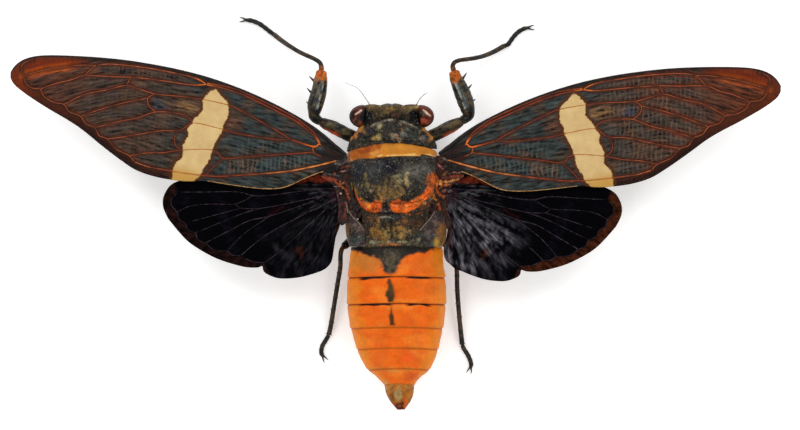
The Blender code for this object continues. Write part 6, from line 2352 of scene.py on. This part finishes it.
@dataclass
class Down:
    """Short golden down that lies back along the body, as fine three-sided hairs."""

    hair: Material
    length: tuple[float, float] = (0.25, 0.6)
    radius: float = 0.018

    def grow(
        self, name: str, source: bpy.types.Object, count: int, seed: int, region: Callable, tint: str,
    ) -> None:
        """Grows down on a piece.

        Args:
            name: the coat's name.
            source: the piece that it grows on.
            count: how many hairs.
            seed: picks their places.
            region: gives how thickly it grows for places (x, y, z) and normals.
            tint: what the hairs' own colour leans to; the rest is the pigment that they grow on.
        """
        mesh = source.data
        centre, normal = read(mesh.polygons, "center", 3) / MM, read(mesh.polygons, "normal", 3)
        weight = read(mesh.polygons, "area", 1) * np.clip(region(centre, normal), 0, 1)
        draw = np.random.default_rng(SEED + seed)
        chosen = draw.choice(len(weight), size=count, p=weight / weight.sum())
        root, out = centre[chosen] + draw.normal(0, 0.06, (count, 3)) * (1, 1, 0), normal[chosen]
        back = np.array((0.0, 1.0, 0.0)) + draw.normal(0, 0.35, (count, 3))
        lie = back - out * (back * out).sum(axis=1)[:, None]
        lie /= np.linalg.norm(lie, axis=1)[:, None]
        beside = np.cross(out, lie)
        size = draw.uniform(*self.length, count)[:, None]
        points = np.empty((count, 7, 3))
        for k in range(3):
            a = math.tau * k / 3
            edge = self.radius * (beside * math.cos(a) + out * math.sin(a))
            points[:, k] = root - out * 0.05 + edge
            points[:, k + 3] = root + lie * size * 0.5 + out * size * 0.28 + edge * 0.8
        points[:, 6] = root + lie * size + out * size * 0.22
        first, corner = read(mesh.polygons, "loop_start", 1, int), read(mesh.loops, "vertex_index", 1, int)
        own = read(mesh.attributes["pigment"].data, "color", 4)[corner[first[chosen]]]
        start = (np.arange(count) * 7)[:, None, None]
        quads = np.array([(k, (k + 1) % 3, (k + 1) % 3 + 3, k + 3) for k in range(3)])[None] + start
        tips = np.array([(k + 3, (k + 1) % 3 + 3, 6) for k in range(3)])[None] + start
        faces = quads.reshape(-1, 4).tolist() + tips.reshape(-1, 3).tolist()
        shade = draw.uniform(0.8, 2.2, count)[:, None]
        colours = layered(np.clip(own * shade, 0, 1), (tint, 0.4 * draw.uniform(0, 1, count) ** 3))
        colours[:, 3] = 1.0
        coat = Piece(name, points.reshape(-1, 3), faces, np.repeat(colours, 7, axis=0))
        self.unwrap(coat.finish(self.hair, "ochre_chitin"), root)

    def unwrap(self, item: bpy.types.Object, root: Array) -> None:
        """Gives each hair a small patch of its own, at its root's place on an unwrap of the body.

        Args:
            item: the coat.
            root: (n, 3) places of the roots.
        """
        turn = np.arctan2(root[:, 2] - 9.0, root[:, 0]) / math.tau + 0.5
        place = np.stack((turn, (root[:, 1] + 20) / 60), axis=1)
        patch = np.array([(0, 0), (1, 0), (2, 0), (0, 1.5), (1, 1.5), (2, 1.5), (1, 3)]) * 0.001 - 0.0015
        corners = (place[:, None, :] + patch[None]).reshape(-1, 2)
        layer = item.data.uv_layers.new(name="OFBake")
        layer.data.foreach_set("uv", corners[read(item.data.loops, "vertex_index", 1, int)].ravel())


HINGE_OUTLINE = (
    (7.3, -8.9), (7.35, -7.0), (7.3, -4.0), (6.0, -1.6), (6.0, 0.6), (7.6, 0.9), (8.6, 1.5), (9.6, 2.1),
    (10.3, 1.0), (10.2, -1.0), (10.6, -3.5), (11.2, -5.0), (12.6, -6.0), (13.2, -6.6), (12.4, -7.4),
    (11.4, -8.1), (10.6, -9.1), (9.8, -9.8), (8.75, -10.2), (8.35, -9.0),
)
# Straps and folds of the wings' hinges seen from above: places, half width, height, colour; the thin pale
# straps are painted highlights along the crests of folds
HINGE_STRAPS = {
    Side.LEFT: (
        (((12.9, -9.0), (11.4, -8.9), (9.9, -8.6), (8.6, -9.2)), 0.3, 0.35, "564A44"),
        (((11.6, -9.6), (10.1, -9.1), (8.8, -9.8)), 0.25, 0.3, "221C20"),
        (((11.1, -7.4), (9.2, -8.1), (7.6, -8.4)), 0.2, 0.25, "5A2A20"),
        # A thin pale strap: a painted highlight along a fold's crest
        (((9.9, -7.3), (8.7, -7.5)), 0.1, 0.2, "A87260"),
        (((13.4, -6.9), (12.1, -7.0), (10.8, -6.7), (9.9, -6.6)), 0.16, 0.25, "3A383A"),
        (((13.4, -6.2), (12.1, -6.2), (10.8, -5.8), (9.9, -5.2)), 0.42, 0.3, "702A12"),
        (((10.6, -5.4), (9.5, -4.6), (8.8, -3.9), (8.3, -2.6)), 0.22, 0.35, "8A421C"),
        (((9.2, -5.6), (8.6, -4.9), (8.2, -3.6)), 0.2, 0.3, "5A2A16"),
        # A thin pale strap: a painted highlight along a fold's crest
        (((11.6, -4.6), (10.1, -4.8), (9.3, -5.4)), 0.09, 0.2, "9A7C7C"),
        (((7.8, -5.4), (7.7, -4.2)), 0.14, 0.2, "5E4A26"),
        (((10.4, -3.6), (9.9, -1.7), (9.9, 1.0)), 0.3, 0.25, "301A1E"),
        # The second strap here, thin and pale, is a painted highlight along a fold's crest
        (((9.2, -1.6), (9.0, 1.2)), 0.3, 0.25, "4A1A10"), (((8.8, -1.9), (8.5, -0.2)), 0.09, 0.2, "96866A"),
        (((9.6, 0.2), (9.5, 1.6)), 0.25, 0.3, "2A0E0C"),
    ),
    Side.RIGHT: (
        (((-8.3, -9.5), (-9.6, -9.4), (-11.0, -9.2)), 0.3, 0.3, "5A4A40"),
        (((-7.3, -8.5), (-8.1, -7.8)), 0.18, 0.25, "9A5656"),
        (((-9.0, -7.8), (-8.4, -6.8)), 0.35, 0.3, "6A4020"),
        # A thin pale strap: a painted highlight along a fold's crest
        (((-9.1, -6.9), (-9.9, -7.2), (-11.9, -7.1)), 0.1, 0.25, "96705C"),
        (((-9.4, -6.4), (-10.6, -6.6), (-12.3, -6.6)), 0.3, 0.25, "6A2A12"),
        (((-7.2, -6.2), (-11.1, -6.1)), 0.2, 0.2, "4A1A10"),
        (((-7.2, -5.7), (-8.8, -5.5), (-9.9, -5.8), (-10.9, -5.9)), 0.22, 0.3, "C27A3C"),
        (((-6.5, -6.9), (-7.2, -5.7), (-6.8, -4.4)), 0.35, 0.4, "C4641E"),
        (((-7.2, -4.2), (-8.2, -4.9), (-9.3, -5.1)), 0.2, 0.25, "9A4A26"),
        (((-6.6, -4.2), (-7.5, -3.4), (-8.3, -3.0)), 0.3, 0.3, "8E4418"),
        (((-6.3, -3.1), (-6.9, -2.4)), 0.22, 0.35, "B87430"),
        (((-8.9, -3.2), (-9.3, -1.0), (-9.0, 1.5)), 0.35, 0.3, "3A1C22"),
        (((-7.2, -1.6), (-7.9, 0.2)), 0.3, 0.3, "8A3E18"), (((-8.3, 0.4), (-8.2, 1.8)), 0.3, 0.3, "2E1010"),
    ),
}
# The small hard plates among them: place, half sizes, turn, colour
HINGE_PLATES = (
    (10.3, -8.2, 12.85, (0.35, 0.5, 0.15), -30, "1E1A18"), (9.3, -8.5, 12.9, (0.4, 0.25, 0.15), 35, "2A1E1A"),
    (10.7, -7.0, 12.3, (0.35, 0.3, 0.3), 0, "6A3A2C"), (9.8, -3.5, 12.0, (0.2, 0.24, 0.2), 0, "B8948A"),
    (8.8, -1.9, 12.5, (0.3, 0.22, 0.25), 20, "7E3C44"), (9.9, -5.2, 12.2, (0.35, 0.5, 0.3), 0, "884420"),
    (-8.4, -8.2, 12.9, (0.6, 0.3, 0.15), 15, "241E18"), (-10.2, -8.3, 12.8, (0.35, 0.35, 0.12), 0, "26201C"),
    (-8.8, -5.1, 12.4, (0.32, 0.25, 0.3), 0, "B8622E"), (-7.7, -5.2, 12.9, (0.2, 0.4, 0.25), 0, "D09A4A"),
    (-8.3, -4.0, 12.4, (0.4, 0.3, 0.3), 10, "5A3A36"), (-6.7, -2.8, 13.0, (0.3, 0.18, 0.2), -30, "C08238"),
    (-9.3, -3.9, 11.95, (0.3, 0.3, 0.25), 0, "4A3A40"),
)


@dataclass
class Hinge:
    """The leathery hinge between the thorax and the wings of one side, with its straps and small plates."""

    side: Side
    ground: str
    middle: float = 0.7
    thick: float = 0.6
    spacing: float = 0.13

    def height(self, flat: Array) -> Array:
        """Slopes from the shield's edge down to each wing, and raises the straps."""
        reach = self.side.value * (flat[:, 0] - self.middle)
        outer = np.interp(flat[:, 1], (-9.8, -8.4, -7.2, -4, 3.6), (12.7, 12.6, 11.75, 11.45, 11.35))
        level = 13.0 + (outer - 13.0) * ease(reach, 6.9, 9.3)
        for line, width, rise, _ in HINGE_STRAPS[self.side]:
            level = level + ridge(flat, smooth_line(line, 0.3), width, rise)
        return level + 0.06 * ripple(flat, 0.5, 181) + 0.03 * ripple(flat, 0.25, 182)

    def colours(self, flat: Array) -> Array:
        """Paints the dark leather and its straps."""
        colours = layered(
            ground_of(len(flat), self.ground), ("3C1D12", 0.7 * ease(ripple(flat, 0.7, 183), 0.0, 1.0)),
        )
        for line, width, _, code in HINGE_STRAPS[self.side]:
            away = distance_to(flat, [smooth_line(line, 0.3)]) + 0.3 * width * ripple(flat, 0.4, 184)
            colours = layered(colours, (code, ease(-away, -1.1 * width, -0.45 * width)))
        return colours

    def build(self, material: Material) -> None:
        """Makes the folded leather and the plates on it."""
        corners = np.array(HINGE_OUTLINE)
        if self.side is Side.RIGHT:
            corners[5:9] += (0.7, 0.6)
            corners[-1] += (-0.6, -0.5)
            corners[:, 0] = 2 * self.middle - corners[:, 0]
        flat, faces = lattice_in(smooth_line(np.vstack((corners, corners[:1])), 0.2)[:-1], self.spacing)
        top = self.height(flat)
        parts = [thicken(np.column_stack((flat, top)), np.column_stack((flat, top - self.thick)), faces)]
        shades = [self.colours(flat)] * 2
        for k, (x, y, z, radii, turn, code) in enumerate(HINGE_PLATES):
            if x * self.side.value < 0:
                continue
            item = bead("hinge_plate", (x, y, z), radii, turn, rings=16)
            coords = places_of(item)
            coords += 0.1 * ripple(coords, 0.5, 190 + k)[:, None]
            parts.append((coords, [tuple(face.vertices) for face in item.data.polygons]))
            worn = 0.5 * ease(ripple(coords, 0.4, 210 + k), 0, 1)
            shades.append(layered(ground_of(len(coords), code), (self.ground, worn)))
            bpy.data.objects.remove(item, do_unlink=True)
        points, faces = join(parts)
        leather = Piece(f"wing_hinge_{self.side.word}", points, faces, np.vstack(shades))
        leather.finish(material, "ochre_chitin")


def build_wings() -> None:
    """Makes the four wings."""
    fore, hind = Membrane().material(), Velvet().material()
    orange = Cuticle("orange_vein_cuticle", 0.42, 0.22, 0.2, 0.02, 0.0, 0.2).material()
    black = Gloss("front_edge_cuticle", "0A0706", "1C1210", 0.35).material()
    dim = Gloss("dim_vein_cuticle", "140E12", "4A3E48", 0.45, specular=0.02).material()
    cord = Gloss("rear_edge_cuticle", "7A4A22", "C89A5A", 0.45).material()
    for side, root, degrees, stretch, warmth in (
        (Side.LEFT, (9.01, -9.71), 14.24, 0.996, 1.0), (Side.RIGHT, (-7.61, -9.89), 11.6, 1.004, 1.25),
    ):
        wing = Forewing(
            side, root, degrees, stretch, 0, (FORE_FRONT, FORE_REAR), FORE_VEINS, tip_warmth=warmth,
        )
        wing.build(fore, orange, black)
        points, faces = wing.cord(*REAR_CORD, taper=0.9, rise=0.05)
        Piece(f"forewing_{side.word}_rear_edge", points, faces).finish(cord, "ochre_chitin")
    for side, root, degrees, stretch in (
        (Side.LEFT, (9.01, -4.11), 0.0, 1.0), (Side.RIGHT, (-8.26, -4.11), -2.64, 0.982),
    ):
        Hindwing(
            side, root, degrees, stretch, 1, (HIND_FRONT, HIND_REAR + HIND_INNER[side]), HIND_VEINS,
            margin="34170A" if side is Side.RIGHT else "180A08", silver=1.0 if side is Side.RIGHT else 0.45,
        ).build(hind, dim)


def build_body() -> None:
    """Makes the head, thorax, abdomen, sound organs, wing hinges and legs."""
    downy = Cuticle("downy_dark_cuticle", 0.68, 0.6, 0.3, 0.12, 0.5, 0.1, 0.5).material()
    waxy = Cuticle("waxy_cuticle", 0.5, 0.09, 0.42, 0.04, 0.2, 0.12).material()
    hard = Cuticle("hard_leg_cuticle", 0.36, 0.5, 0.35, 0.05, 0.3, 0.2, 0.1).material()
    dome = Cuticle("tymbal_cuticle", 0.5, 0.4, 0.3, 0.09, 0.4, 0.12, 0.3).material()
    leather = Cuticle("hinge_leather", 0.4, 0.7, 0.24, 0.08, 0.4, 0.2, 0.12).material()
    pale = Gloss("pale_edge_cuticle", "5A4A3C", "A08C72", 0.5).material()
    lens = Cuticle("eye_lens", 0.34, 0.3, 0.6, 0.004, 0.0, 0.14).material()
    jewel = Gloss("small_eye_lens", "3A100C", "5E2418", 0.25, coat=0.5).material()
    horn = Gloss("feeler_horn", "3A3632", "8A8278", 0.4).material()
    head = Head()
    head.roof(downy)
    head.face(hard)
    head.plates(downy)
    head.small_eyes(jewel)
    head.eyes(lens)
    head.feelers(horn)
    head.beak(horn)
    Thorax(downy, waxy).build()
    Abdomen(waxy).build()
    for side in Side:
        TymbalCover(side).build(dome, pale)
        Operculum(side).build(waxy)
        Hinge(side, "1A100D" if side is Side.LEFT else "2C150C").build(leather)
    legs = dict(LEGS)
    legs["middle_right"] = {
        part: tuple((MIDDLE_RIGHT_SHIFT - x, y, z, radius) for x, y, z, radius in joints)
        for part, joints in LEGS["middle_left"].items()
    }
    for name, lengths in legs.items():
        Leg(name, lengths).build(hard)


def build_down() -> None:
    """Grows the down on the plates of the head and thorax."""
    def roof_share(spot: Array, out: Array) -> Array:
        """Covers what faces up, but for the dark pools beside the eyes."""
        pool = ease(np.abs(spot[:, 0] - Head.middle), 2.6, 3.2) * ease(spot[:, 1], -18.4, -17.9)
        return ease(out[:, 2], 0.1, 0.6) * (1 - pool * ease(-spot[:, 1], 15.0, 15.6))

    def flank_share(spot: Array, out: Array) -> Array:
        """Covers the sides, and the underside more thinly."""
        return ease(np.abs(out[:, 0]), 0.3, 0.7) + 0.5 * ease(-out[:, 2], 0.3, 0.7)

    hair = Cuticle("golden_down", 0.6, 0.2, 0.2, 0.01, 0.0, 0.3).material()
    down = Down(hair)
    for name, source, count, seed, tint in (
        ("head_down", "head_capsule", 2400, 1, "A89252"),
        ("pronotum_down", "pronotum_plate", 3000, 2, "A09468"),
        ("shield_down", "shield_plate", 4600, 3, "9E9470"), ("cross_down", "shield_cross", 400, 4, "C88A3C"),
        ("waist_down", "waist_plate", 2600, 5, "B08A42"),
    ):
        down.grow(name, bpy.data.objects[source], count, seed, roof_share, tint)
    down.grow("flank_down", bpy.data.objects["thorax_flanks"], 3000, 6, flank_share, "A88A54")


def main() -> None:
    """Builds the studio and the animal."""
    logging.basicConfig(level=logging.INFO)
    Studio().build()
    build_wings()
    build_body()
    build_down()


if __name__ == "__main__":
    main()
